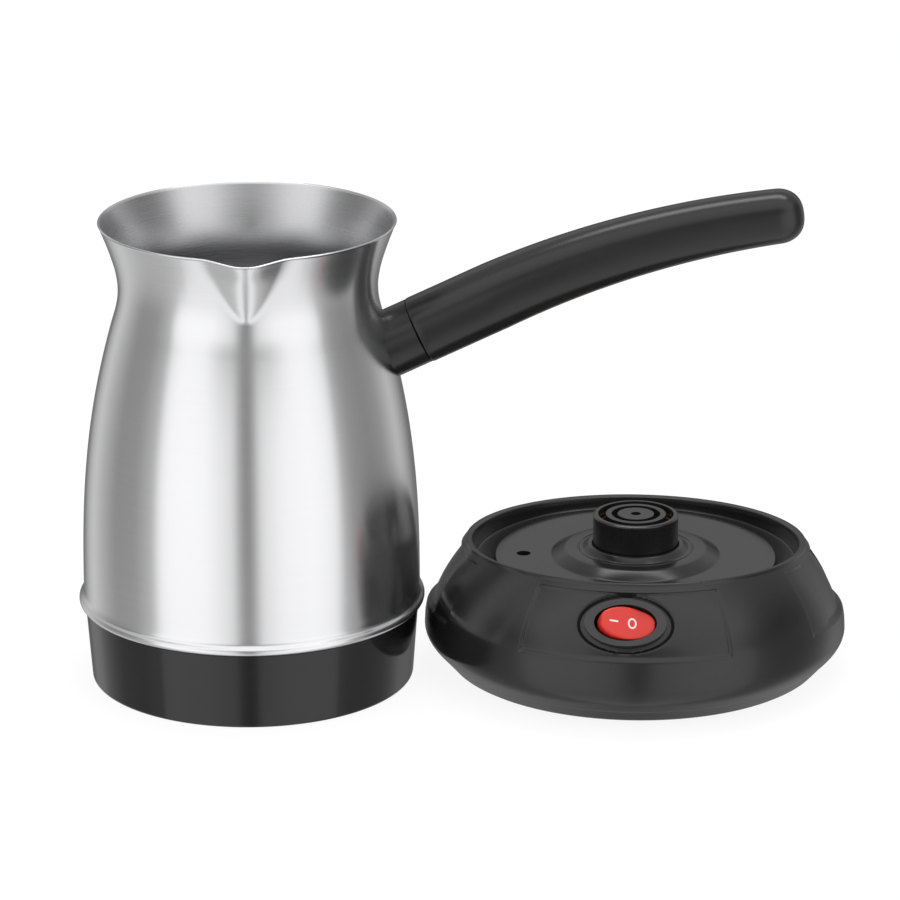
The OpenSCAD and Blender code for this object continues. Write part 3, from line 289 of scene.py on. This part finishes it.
BY_SLOT = {
    "brushed_steel": BRUSHED, "floor_steel": FLOOR_STEEL, "spreader_aluminium": ALUMINIUM,
    "element_sheath": SHEATH, "contact_brass": BRASS, "zinc_steel": ZINC, "bimetal": BIMETAL,
    "heatproof_plastic": HEATPROOF, "ivory_plastic": IVORY, "lead_insulation": LEAD,
    "gloss_black": GLOSS_BLACK, "seal_rubber": SEAL, "satin_black": SATIN_BLACK,
    "handle_black": HANDLE_BLACK, "base_black": BASE_BLACK, "foot_rubber": FOOT_RUBBER,
    "spigot_black": SPIGOT_BLACK, "switch_black": SWITCH_BLACK, "rocker_red": ROCKER_RED,
    "lamp_glass": LAMP,
}


def dress_nodes():
    """Gives every CAD node the material of its slot in the record."""
    slot_of = {row["node"]: row["material_slot"] for row in frame["record"]["subparts"]}
    for name, node in frame["nodes"].items():
        node.data.materials.clear()
        node.data.materials.append(BY_SLOT[slot_of[name]])


# ---------- pot ----------

def wall_curve():
    """The steel wall's outside from the seam to the rim, as radius and height."""
    fine = 3
    shoulder = (NECK_R + 2.5, NECK_H - 12.5)
    belly = [(BELLY_R, SEAM_H), (BELLY_R, SEAM_H + 0.28 * (NECK_H - SEAM_H)),
             (BELLY_R - 0.6, SEAM_H + 0.545 * (NECK_H - SEAM_H)), shoulder]
    neck = [shoulder, (NECK_R + 1.3, NECK_H - 8.5), (NECK_R, NECK_H - 5), (NECK_R, NECK_H)]
    lip = [(NECK_R, NECK_H), (NECK_R, NECK_H + 7.5), (RIM_R - 2.6, RIM_H - 6.9), (RIM_R, RIM_H)]
    return bezier(belly, 12 * fine) + bezier(neck, 5 * fine, 1) + bezier(lip, 14 * fine, 1)


def wall_radius(height):
    points = wall_curve()
    for (r0, z0), (r1, z1) in zip(points, points[1:]):
        if z0 <= height <= z1:
            return mix(r0, r1, (height - z0) / (z1 - z0))
    return points[-1][0]


def spout_reach(angle, height, inner):
    """Distance of the spout's face from the pot's axis; angle is measured from the front. The spout
    has a flat nose and two rounded cheeks, and fades out downwards."""
    angle -= SPOUT_TURN
    rise = (height - (RIM_H - SPOUT_DROP)) / SPOUT_DROP
    if rise <= 0 or math.cos(angle) < 0.8:
        return 0.0
    wall = wall_radius(height)
    half = SPOUT_HALF * rise ** 0.6
    nose = SPOUT_NOSE * rise ** 0.3

    def back(x):
        return SPOUT_SLOPE * ((x ** 3 + nose ** 3) ** (1 / 3) - nose)

    front = math.sqrt(wall * wall - half * half) + back(half) - (STEEL_T if inner else 0.0)
    reach = front
    for _ in range(6):
        reach = (front - back(abs(reach * math.sin(angle)))) / math.cos(angle)
        reach = max(0.6 * wall, reach)
    return reach


def pot_angles():
    """Angles round the pot, measured from the front, close together at the spout."""
    fine_to, fine_step, coarse_step = 24.0, 0.4, 2.8
    angles = []
    at = -fine_to
    while at < fine_to - 1e-6:
        angles.append(at)
        at += fine_step
    count = round((360 - 2 * fine_to) / coarse_step)
    angles += [fine_to + (360 - 2 * fine_to) * i / count for i in range(count)]
    return [math.radians(a) for a in angles]


def make_pot_body():
    """The drawn steel body: wall, spout, rounded rim edge and the rolled seam, one closed skin."""
    angles = pot_angles()
    dip_half, dip_deep = 0.3, 9

    def ring(radius_at, height):
        """One ring of the skin; the lip dips towards the spout."""
        made = []
        for a in angles:
            r = radius_at(a)
            near_spout = 1 - smooth_step(0, dip_half, abs(a - SPOUT_TURN))
            dip = LIP_DIP * near_spout * smooth_step(RIM_H - dip_deep, RIM_H, height)
            made.append((POT_X + r * math.sin(a), POT_Y - r * math.cos(a), height - dip))
        return made

    def outside(r, z):
        return lambda a: smooth_max(r, spout_reach(a, z, False), SPOUT_BLEND)

    def inside(r, z):
        return lambda a: smooth_max(r, spout_reach(a, z, True), SPOUT_BLEND)

    bead_mid = BELLY_R + BEAD_OUT - BEAD_H / 2
    fillet_top = 31.6
    wall = [p for p in wall_curve() if p[1] > fillet_top]
    bead = arc((bead_mid, SEAM_H), BEAD_H / 2, -90, 52, 10)
    fillet = bezier([bead[-1], (bead[-1][0] - 0.55, bead[-1][1] + 0.45), (BELLY_R, SEAM_H + 2.0),
                     (BELLY_R, fillet_top)], 6, 1)
    edge = STEEL_T / 2
    rings = [ring(lambda a: BELLY_R - 1.5, SEAM_H - BEAD_H / 2)]
    rings += [ring(lambda a, r=r: r, z) for r, z in bead + fillet]
    rings += [ring(outside(r, z), z) for r, z in wall[:-1] if z < RIM_H - edge]
    for i in range(7):
        turn = math.pi * i / 6
        z = RIM_H - edge + edge * math.sin(turn)
        share = 0.5 + 0.5 * math.cos(turn)
        outer, inner = outside(RIM_R, RIM_H), inside(RIM_R - STEEL_T, RIM_H)
        rings.append(ring(lambda a, s=share: mix(inner(a), outer(a), s), z))
    inside_from = len(rings) - 1
    for r, z in reversed([p for p in wall[:-1] if p[1] < RIM_H - edge]):
        rings.append(ring(inside(r - STEEL_T, z), z))
    rings += [ring(lambda a: BELLY_R - STEEL_T, z) for z in (30.6, 29.6, FLOOR_TOP)]
    points, faces = lofted(rings, looped=True)
    body = new_piece("pot_body", points, faces, "pot", BRUSHED, 50)
    # the inside faces get the darker copy of the steel, which is painted shade
    body.data.materials.append(SHADED_INSIDE_STEEL)
    for face in body.data.polygons:
        face.material_index = int(inside_from <= face.index // len(angles))
    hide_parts("vessel")


# ---------- handle ----------

def handle_rise(s):
    """Slope of the handle's axis, in radians, at distance s from the pot."""
    share = max(0.0, min(s, HANDLE_STRAIGHT + HANDLE_CURVE) - HANDLE_STRAIGHT) / HANDLE_CURVE
    return math.radians(mix(HANDLE_RISE, HANDLE_TIP_RISE, share))


def handle_point(s):
    """The handle's axis at distance s from the pot, as distance from the pot's axis and height."""
    root, first = wall_radius(HANDLE_ROOT_H), math.radians(HANDLE_RISE)
    x = root + min(s, HANDLE_STRAIGHT) * math.cos(first)
    z = HANDLE_ROOT_H + min(s, HANDLE_STRAIGHT) * math.sin(first)
    if s > HANDLE_STRAIGHT:
        bend = HANDLE_CURVE / math.radians(HANDLE_RISE - HANDLE_TIP_RISE)
        slope = handle_rise(s)
        x += bend * (math.sin(first) - math.sin(slope))
        z += bend * (math.cos(slope) - math.cos(first))
    past = max(0.0, s - HANDLE_STRAIGHT - HANDLE_CURVE)
    slope = handle_rise(s)
    return x + past * math.cos(slope), z + past * math.sin(slope)


def grip_half(s):
    share = max(0.0, min(s, HANDLE_STRAIGHT + HANDLE_CURVE) - HANDLE_STRAIGHT) / HANDLE_CURVE
    return mix(GRIP_ROOT_HALF, GRIP_TIP_HALF, share)


def grip_ring(s, share, n=72):
    """One section of the grip; share shrinks it towards its axis."""
    (x, z), slope = handle_point(s), handle_rise(s)
    made = []
    for i in range(n):
        a = 2 * math.pi * i / n
        up = share * grip_half(s) * math.copysign(abs(math.cos(a)) ** 0.88, math.cos(a))
        side = share * GRIP_FLAT * grip_half(s) * math.copysign(abs(math.sin(a)) ** 0.88, math.sin(a))
        made.append((POT_X + x - up * math.sin(slope), POT_Y + side, z + up * math.cos(slope)))
    return made


def make_grip():
    length = HANDLE_STRAIGHT + HANDLE_CURVE
    stations = [(COLLAR_LEN, 0.90), (COLLAR_LEN, 0.955), (COLLAR_LEN + 0.15, 0.978),
                (COLLAR_LEN + 0.45, 0.993), (COLLAR_LEN + 0.9, 1.0)]
    stations += [(mix(COLLAR_LEN + 0.9, length, i / 60), 1.0) for i in range(1, 61)]
    for i in range(1, 15):
        turn = math.radians(88 * i / 14)
        stations.append((length + HANDLE_CAP * math.sin(turn) * 0.985, math.cos(turn) ** 0.8))
    points, faces = lofted([grip_ring(s, k) for s, k in stations])
    grip = new_piece("grip", points, faces, "pot", HANDLE_BLACK, 50)
    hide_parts("handle_grip")


# ---------- base ----------

def base_place(x, y, z):
    """A point in the base's own frame, turned and moved to where the base stands."""
    c, s = math.cos(FACE_TURN), math.sin(FACE_TURN)
    return BASE_X + x * c + y * s, BASE_Y - x * s + y * c, z


def lean(x, y, z, share=1.0):
    """The backward lean of the upper shell about its pivot height."""
    c, s = math.cos(SHELL_LEAN), math.sin(SHELL_LEAN)
    h = z - LEAN_PIVOT_H
    return x, mix(y, y * c + h * s, share), mix(z, LEAN_PIVOT_H - y * s + h * c, share)


def switch_place(x, y, z):
    """A point in the switch's own frame, in the base's frame; z points out of the casing."""
    c, s = math.cos(SWITCH_LEAN), math.sin(SWITCH_LEAN)
    return x, -SWITCH_OFF + y * s - z * c, SWITCH_H + y * c + z * s


def switch_local(x, y, z):
    """The reverse of switch_place."""
    c, s = math.cos(SWITCH_LEAN), math.sin(SWITCH_LEAN)
    back, up = y + SWITCH_OFF, z - SWITCH_H
    return x, back * s + up * c, -back * c + up * s


def casing_curve():
    """The casing's outside from the joint up to the rim, as radius and height before leaning."""
    joint_r = BASE_FOOT_R + (BASE_R - BASE_FOOT_R) * 0.4
    foot = [(joint_r, JOINT_H), (joint_r + 2, JOINT_H + 2.4), (BASE_R, BASE_WIDE_H - 3.5),
            (BASE_R, BASE_WIDE_H)]
    dome = [(BASE_R - 0.15, SPLIT_H - 1.0), (BASE_R - 1, SPLIT_H + 8), (BASE_R - 6.3, RIM_TOP_H - 9.8),
            (COLLAR_RIM_R, RIM_TOP_H - RIM_ROUND)]
    return bezier(foot, 10) + bezier(dome, 60, 1)


def from_panel(angle):
    """Degrees from the middle of the nearest of the four panels."""
    return abs((angle + 45) % 90 - 45)


def from_hollow(angle):
    """Degrees from the middle of the nearer of the two finger hollows."""
    return abs((angle + 90) % 180 - 90)


def at_switch(angle):
    """Whether an angle in degrees lies in the stretch of wall that holds the switch."""
    half_span = 18
    return abs(angle + 90) < half_span


def pressed(angle, height):
    """How far the wall is pressed in at an angle in degrees and a height before leaning: by the four
    panels, and once more by the finger hollows in the two side panels."""
    edge, ledge, top = 0.5, 0.7, 0.8
    panel_side = 1 - smooth_step(PANEL_HALF - edge, PANEL_HALF + edge, from_panel(angle))
    hollow_side = 1 - smooth_step(HOLLOW_HALF - edge, HOLLOW_HALF + edge, from_hollow(angle))
    foot = smooth_step(PANEL_LEDGE_H - ledge, PANEL_LEDGE_H + ledge, height)
    head = 1 - smooth_step(RIM_TOP_H - PANEL_TOP_IN - top, RIM_TOP_H - PANEL_TOP_IN, height)
    return (PANEL_IN * panel_side + HOLLOW_IN * hollow_side) * foot * head


def switch_depth(x, y, z):
    """The oval recess round the switch."""
    u, v, _ = switch_local(x, y, z)
    away = math.hypot(u / (SWITCH_SEAT_W / 2), v / (SWITCH_SEAT_D / 2))
    return SWITCH_SEAT_DEEP * (1 - smooth_step(0.9, 1.01, away))


def casing_angles():
    """Angles round the base in degrees, measured from +X, close together at the switch and closest
    at the edges of the panels and hollows."""
    edge_step, switch_step, plain_step = 0.15, 0.3, 0.6
    angles, at = [], -180.0
    while at < 180 - 1e-6:
        angles.append(at)
        to_edge = min(abs(from_panel(at) - PANEL_HALF), abs(from_hollow(at) - HOLLOW_HALF))
        at += edge_step if to_edge < 0.8 else switch_step if at_switch(at) else plain_step
    return angles


def make_casing():
    """The base's casing: dome with pressed panels and finger hollows, rim, seat, deck and step."""
    angles = casing_angles()
    curve = casing_curve()

    def flat_ring(r, h):
        return [(r * math.cos(math.radians(a)), r * math.sin(math.radians(a)), h) for a in angles]

    def lean_share(h):
        """The lower wall stands upright, and the upper wall leans fully."""
        return smooth_step(8.0, 24.0, h)

    outer_rings = []
    for r, h in curve:
        leaned = lean_share(h)
        ring = []
        for a in angles:
            c, s = math.cos(math.radians(a)), math.sin(math.radians(a))
            depth = pressed(a, h)
            x, y, z = lean((r - depth) * c, (r - depth) * s, h, leaned)
            if at_switch(a):
                dip = switch_depth(x, y, z)
                y += dip * math.cos(SWITCH_LEAN)
                z -= dip * math.sin(SWITCH_LEAN)
            ring.append((x, y, z))
        outer_rings.append(ring)
    foot_r, foot_z = curve[0]
    rings = [flat_ring(0.993 * foot_r, foot_z)] + outer_rings

    # the rim's rounding and its flat land, down to the seat's mouth
    for i in range(1, 6):
        turn = math.radians(90 * i / 5)
        r = COLLAR_RIM_R - RIM_ROUND * (1 - math.cos(turn))
        h = RIM_TOP_H - RIM_ROUND * (1 - math.sin(turn))
        rings.append([lean(*p) for p in flat_ring(r, h)])

    def seat_mouth(a, out):
        """Where the seat's flared wall meets the leaning rim, out from the wall by a distance."""
        c, s = math.cos(math.radians(a)), math.sin(math.radians(a))
        r = SEAT_R
        for _ in range(4):
            y = r * s
            z = LEAN_PIVOT_H + (RIM_TOP_H - LEAN_PIVOT_H) * math.cos(SHELL_LEAN) - y * math.tan(SHELL_LEAN)
            r = SEAT_R + SEAT_FLARE * (z - (DECK_H - CHANNEL_IN)) + out
        return r * c, r * s, z

    mouth_round = 0.5
    for out, drop in ((mouth_round, 0.0), (mouth_round * 0.45, 0.1), (mouth_round * 0.12, 0.28),
                      (0.0, mouth_round)):
        rings.append([(x, y, z - drop) for x, y, z in (seat_mouth(a, out) for a in angles)])

    # the seat's wall and channel, and the deck's edge
    channel = DECK_H - CHANNEL_IN
    rings.append(flat_ring(SEAT_R + SEAT_FLARE * 2, channel + 2))
    for r, h in ((SEAT_R, channel + 0.5), (SEAT_R - 0.15, channel + 0.15), (SEAT_R - 0.5, channel),
                 (DECK_R + 0.4, channel), (DECK_R, channel + 0.4), (DECK_R, DECK_H - 0.6),
                 (DECK_R - 0.18, DECK_H - 0.18), (DECK_R - 0.6, DECK_H)):
        rings.append(flat_ring(r, h))

    # the deck, its round step and the collar round the spigot
    rings += [flat_ring(r, DECK_H) for r in (44.0, 36.0, STEP_R + 1.0)]
    step, collar = DECK_H + STEP_RISE, DECK_H + STEP_RISE + COLLAR_RISE
    for r, h in ((STEP_R + 0.6, DECK_H), (STEP_R + 0.2, DECK_H + 0.12), (STEP_R - 0.1, DECK_H + 0.35),
                 (STEP_R - STEP_SLOPE + 0.6, step - 0.4), (STEP_R - STEP_SLOPE + 0.15, step - 0.14),
                 (STEP_R - STEP_SLOPE - 0.4, step), (COLLAR_R + 2.2, step), (COLLAR_R + 2.0, step - 0.25),
                 (COLLAR_R + 1.7, step - 0.25), (COLLAR_R + 1.5, step), (COLLAR_R + 0.5, step),
                 (COLLAR_R + 0.1, step + 0.2), (COLLAR_R - 1.1, collar - 0.35),
                 (COLLAR_R - 1.4, collar - 0.08), (COLLAR_R - 1.8, collar), (SPIGOT_R + 0.35, collar),
                 (SPIGOT_R + 0.1, collar - 0.25), (SPIGOT_R + 0.1, DECK_H - 2.0)):
        rings.append(flat_ring(r, h))

    # the hidden inside, back to the joint
    inside_top = 36
    rings += [flat_ring(DECK_R - 2.0, DECK_H - 2.2), flat_ring(DECK_R - 1.4, channel - 1.8),
              flat_ring(SEAT_R + 1.2, channel - 1.8)]
    for r, h in reversed(curve[::6]):
        if h < inside_top:
            rings.append([lean(*p, lean_share(h)) for p in flat_ring(r - SHELL_T - PANEL_IN, h)])
    placed = [[base_place(*p) for p in ring] for ring in rings]
    points, faces = lofted(placed, looped=True)
    casing = new_piece("casing", points, faces, "base", BASE_BLACK, 50)
    play = 0.15
    half_w, half_d = SWITCH_BODY_W / 2 + play, SWITCH_BODY_D / 2 + play
    cut_hole(casing, [[switch_place(*p) for p in oval_ring(half_w, half_d, z)] for z in (-9.0, 4.0)])
    cut_hole(casing, [[(x + DRAIN_X, y + DRAIN_Y, z) for x, y, z in oval_ring(DRAIN_R, DRAIN_R, z)]
                      for z in (DECK_H - 8, DECK_H + 2)])
    tube_top, tube_foot = DECK_H - 2, 4.6
    tube = [oval_ring(r, r, z) for r, z in ((DRAIN_R, tube_top), (DRAIN_R + DRAIN_T, tube_top),
                                            (DRAIN_R + DRAIN_T, tube_foot), (DRAIN_R, tube_foot))]
    points, faces = lofted([[base_place(x + DRAIN_X, y + DRAIN_Y, z) for x, y, z in ring] for ring in tube],
                           looped=True)
    new_piece("drain_tube", points, faces, "base", BASE_BLACK)
    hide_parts("base_shell")


def oval_ring(half_w, half_d, z, n=64):
    turns = [2 * math.pi * i / n for i in range(n)]
    return [(half_w * math.cos(turn), half_d * math.sin(turn), z) for turn in turns]


def cut_hole(casing, rings):
    """Cuts the solid through two rings, given in the base's frame, out of the casing."""
    points, faces = lofted([[base_place(*p) for p in ring] for ring in rings])
    mesh = bpy.data.meshes.new("cutter")
    mesh.from_pydata([Vector(p) * MM for p in points], [], faces)
    cutter = bpy.data.objects.new("cutter", mesh)
    bpy.context.scene.collection.objects.link(cutter)
    modifier = casing.modifiers.new("hole", "BOOLEAN")
    modifier.operation = "DIFFERENCE"
    modifier.solver = "EXACT"
    modifier.object = cutter
    bpy.context.view_layer.objects.active = casing
    bpy.ops.object.modifier_apply(modifier=modifier.name)
    bpy.data.objects.remove(cutter)
    bm = bmesh.new()
    bm.from_mesh(casing.data)
    for edge in bm.edges:
        edge.smooth = len(edge.link_faces) != 2 or edge.calc_face_angle() <= math.radians(50)
    bm.to_mesh(casing.data)
    bm.free()


# ---------- rocker ----------

CREASE_X, CREASE_Z, CREASE_BLEND = 4.2, 2.85, 0.25
LEFT_SLOPE, RIGHT_SLOPE = math.tan(math.radians(8)), math.tan(math.radians(15))


def rocker_face(x):
    """Height of the rocker's face above its pivot, in the rocker's own level frame."""
    return CREASE_Z + smooth_max((CREASE_X - x) * LEFT_SLOPE, (x - CREASE_X) * RIGHT_SLOPE, CREASE_BLEND)


def rocker_place(x, y, z):
    """A point in the rocker's own frame, tipped to its rest and set in the switch."""
    c, s = math.cos(ROCKER_TIP), math.sin(ROCKER_TIP)
    return base_place(*switch_place(x * c + z * s, y, PIVOT_Z - x * s + z * c))


def make_rocker():
    """The red rocker: an oval with a shallow crease between its faces and rounded edges."""
    n = 96
    half_w, half_d = ROCKER_W / 2 - 0.15, ROCKER_D / 2 - 0.12

    def ring(share, drop, floor=None):
        made = []
        for x, y, _ in oval_ring(half_w * share, half_d * share, 0, n):
            top = min(rocker_face(x), math.sqrt((ROCKER_W / 2 + 0.2) ** 2 - x * x)) - drop
            made.append(rocker_place(x, y, top if floor is None else floor))
        return made

    rings = [ring(0.02, 0.0)] + [ring(0.1 * i, 0.0) for i in range(1, 9)]
    rings += [ring(0.86, 0.0), ring(0.91, 0.03), ring(0.95, 0.12), ring(0.975, 0.28), ring(0.99, 0.55),
              ring(1.0, 1.0), ring(1.0, 0, 0.2), ring(0.95, 0, -1.6), ring(0.3, 0, -1.6)]
    points, faces = lofted(rings)
    piece = new_piece("rocker_cap", points, faces, "rocker", ROCKER_RED, 60)
    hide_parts("rocker")


def mark(name, outline, hole=None):
    """A printed mark on the rocker's left face, from an outline and, for a ring, its inner outline."""
    lift, deep = 0.03, 0.12
    if hole is None:
        rings = [[(x, y, rocker_face(x) + d) for x, y in outline] for d in (lift, -deep)]
    else:
        rings = [[(x, y, rocker_face(x) + d) for x, y in edge]
                 for edge, d in ((outline, lift), (outline, -deep), (hole, -deep), (hole, lift))]
    points, faces = lofted([[rocker_place(*p) for p in ring] for ring in rings], looped=hole is not None)
    new_piece(name, points, faces, "rocker", MARK_WHITE)


def make_marks():
    bar = [(-6.1, -0.3), (-3.2, -0.3), (-3.2, 0.3), (-6.1, 0.3)]
    mark("mark_on", bar)

    def ring(half_w, half_h):
        return [(1.6 + x, y) for x, y, _ in oval_ring(half_w, half_h, 0, 40)]

    mark("mark_off", ring(1.5, 1.85), ring(0.95, 1.3))


# ---------- camera, light and floor ----------

CAMERA_PLACE, CAMERA_DOWN, CAMERA_LENS = (-4.6, -1509.0, 575.0), 18.3, 187.8


def make_camera():
    """The photograph's viewpoint: a long lens, looking down along +Y."""
    data = bpy.data.cameras.new("camera")
    data.sensor_width = 36.0
    data.lens = CAMERA_LENS
    data.clip_end = 50.0
    camera = bpy.data.objects.new("camera", data)
    camera.location = Vector(CAMERA_PLACE) * MM
    camera.rotation_euler = (math.radians(90 - CAMERA_DOWN), 0, 0)
    bpy.context.scene.collection.objects.link(camera)
    bpy.context.scene.camera = camera


# brightness of the studio by compass angle, 0 in front of the pot and positive to the right
STUDIO = [(-180, 0.16), (-158, 0.18), (-147, 0.5), (-135, 0.72), (-118, 0.5), (-104, 0.33), (-84, 0.36),
          (-67, 0.6), (-64, 1.15), (-56, 1.3), (-30, 1.3), (-10, 1.0), (-5, 0.4), (0, 0.2), (4, 0.35),
          (9, 1.0), (26, 1.25), (46, 1.3), (60, 1.2), (64, 1.1), (68, 0.55), (78, 0.36), (95, 0.3),
          (110, 0.36), (131, 0.65), (145, 0.4), (158, 0.18), (180, 0.16)]
# brightness overhead by the direction's share of +Y: in front at -1 and behind at +1
OVERHEAD = [(-1.0, 0.2), (-0.9, 0.3), (-0.78, 1.1), (-0.3, 1.35), (0.0, 0.7), (0.4, 0.55), (1.0, 0.6)]
LEVEL_MAX = 1.35
FLOOR_LEVEL = 0.8
TOP_FROM, TOP_TO = 0.12, 0.42
LOW_FROM, LOW_TO, LOW_SHARE = -0.25, -0.75, 0.45
SIDE_FROM, SIDE_TO, SIDE_SHARE = 0.76, 0.92, 0.25
# the sockets of a Mix node that holds colours
MIX_A, MIX_B, MIX_OUT = 6, 7, 2


def level_ramp(tree, stops, low, high):
    """A colour ramp of grey levels, in shares of LEVEL_MAX, from stops between low and high."""
    ramp = tree.nodes.new("ShaderNodeValToRGB")
    elements = ramp.color_ramp.elements
    while len(elements) > 1:
        elements.remove(elements[-1])
    for i, (at, level) in enumerate(stops):
        place = (at - low) / (high - low)
        element = elements[0] if i == 0 else elements.new(place)
        element.position = place
        element.color = (level / LEVEL_MAX,) * 3 + (1,)
    span = tree.nodes.new("ShaderNodeMapRange")
    span.inputs["From Min"].default_value = low
    span.inputs["From Max"].default_value = high
    link(tree, span, "Result", ramp, "Fac")
    return span, ramp


def blend_by_height(tree, split, start, stop, share):
    """A mix of two colours by the direction's height, from start to stop, up to a share."""
    height = tree.nodes.new("ShaderNodeMapRange")
    height.interpolation_type = "SMOOTHSTEP"
    height.inputs["From Min"].default_value = start
    height.inputs["From Max"].default_value = stop
    height.inputs["To Max"].default_value = share
    link(tree, split, "Z", height, "Value")
    blend = tree.nodes.new("ShaderNodeMix")
    blend.data_type = "RGBA"
    link(tree, height, "Result", blend, "Factor")
    return blend


def to_camera(tree, real, seen, out):
    """Sends one shader to camera rays and the other to all the rest."""
    choose, path = tree.nodes.new("ShaderNodeMixShader"), tree.nodes.new("ShaderNodeLightPath")
    link(tree, path, "Is Camera Ray", choose, "Fac")
    link(tree, real, 0, choose, 1)
    link(tree, seen, 0, choose, 2)
    link(tree, choose, "Shader", out, "Surface")


def make_world():
    """White to the camera. Everything else sees soft panels with darker gaps between them by compass,
    another row of levels overhead that dims to both sides, and a pale ground."""
    world = bpy.data.worlds.new("studio")
    bpy.context.scene.world = world
    world.use_nodes = True
    tree = world.node_tree
    tree.nodes.clear()
    new = tree.nodes.new
    place, split = new("ShaderNodeTexCoord"), new("ShaderNodeSeparateXYZ")
    link(tree, place, "Generated", split, "Vector")
    flip = new("ShaderNodeMath")
    flip.operation = "MULTIPLY"
    flip.inputs[1].default_value = -1.0
    link(tree, split, "Y", flip, 0)
    turn = new("ShaderNodeMath")
    turn.operation = "ARCTAN2"
    link(tree, split, "X", turn, 0)
    link(tree, flip, "Value", turn, 1)
    degrees = new("ShaderNodeMath")
    degrees.operation = "DEGREES"
    link(tree, turn, "Value", degrees, 0)
    around_span, around = level_ramp(tree, STUDIO, -180, 180)
    link(tree, degrees, "Value", around_span, "Value")
    above_span, above = level_ramp(tree, OVERHEAD, -1, 1)
    link(tree, split, "Y", above_span, "Value")
    out_to = new("ShaderNodeMath")
    out_to.operation = "ABSOLUTE"
    link(tree, split, "X", out_to, 0)
    side = new("ShaderNodeMapRange")
    side.inputs["From Min"].default_value, side.inputs["From Max"].default_value = SIDE_FROM, SIDE_TO
    side.inputs["To Min"].default_value, side.inputs["To Max"].default_value = 1.0, SIDE_SHARE
    link(tree, out_to, "Value", side, "Value")
    above_dim = new("ShaderNodeVectorMath")
    above_dim.operation = "SCALE"
    link(tree, above, "Color", above_dim, 0)
    link(tree, side, "Result", above_dim, "Scale")
    top = blend_by_height(tree, split, TOP_FROM, TOP_TO, 1.0)
    link(tree, around, "Color", top, MIX_A)
    link(tree, above_dim, "Vector", top, MIX_B)
    low = blend_by_height(tree, split, LOW_FROM, LOW_TO, LOW_SHARE)
    link(tree, top, MIX_OUT, low, MIX_A)
    low.inputs[MIX_B].default_value = (FLOOR_LEVEL / LEVEL_MAX,) * 3 + (1,)
    studio, white = new("ShaderNodeBackground"), new("ShaderNodeBackground")
    link(tree, low, MIX_OUT, studio, "Color")
    studio.inputs["Strength"].default_value = LEVEL_MAX
    white.inputs["Color"].default_value = (1, 1, 1, 1)
    to_camera(tree, studio, white, new("ShaderNodeOutputWorld"))


def make_floor():
    """A floor that is white to the camera, keeps the object's soft shadow and lights the object with
    its real pale grey."""
    size = 6.0
    mesh = bpy.data.meshes.new("floor")
    corners = [(-size, -size, 0), (size, -size, 0), (size, size, 0), (-size, size, 0)]
    mesh.from_pydata(corners, [], [(0, 1, 2, 3)])
    floor = bpy.data.objects.new("floor", mesh)
    bpy.context.scene.collection.objects.link(floor)
    material = bpy.data.materials.new("floor_white")
    material.use_nodes = True
    tree = material.node_tree
    tree.nodes.clear()
    new = tree.nodes.new
    real, thin, glow = new("ShaderNodeBsdfDiffuse"), new("ShaderNodeBsdfDiffuse"), new("ShaderNodeEmission")
    real.inputs["Color"].default_value = (0.85, 0.85, 0.85, 1)
    thin.inputs["Color"].default_value = (0.14, 0.14, 0.14, 1)
    glow.inputs["Strength"].default_value = 0.9
    both = new("ShaderNodeAddShader")
    link(tree, thin, 0, both, 0)
    link(tree, glow, 0, both, 1)
    to_camera(tree, real, both, new("ShaderNodeOutputMaterial"))
    mesh.materials.append(material)
    floor.visible_glossy = False


def make_lamp(name, place, aim, size, watts):
    """A soft rectangular lamp that the camera doesn't see."""
    data = bpy.data.lights.new(name, "AREA")
    data.shape = "RECTANGLE"
    data.size, data.size_y = size
    data.energy = watts
    lamp = bpy.data.objects.new(name, data)
    lamp.location = place
    lamp.rotation_euler = (Vector(aim) - Vector(place)).to_track_quat("-Z", "Y").to_euler()
    lamp.visible_camera = False
    bpy.context.scene.collection.objects.link(lamp)


bpy.context.scene.view_settings.view_transform = "Standard"
make_camera()
make_world()
make_floor()
make_lamp("top_lamp", (0.1, 0.3, 1.5), (0, 0, 0.05), (1.2, 0.5), 7)
dress_nodes()
make_pot_body()
make_grip()
make_casing()
make_rocker()
make_marks()
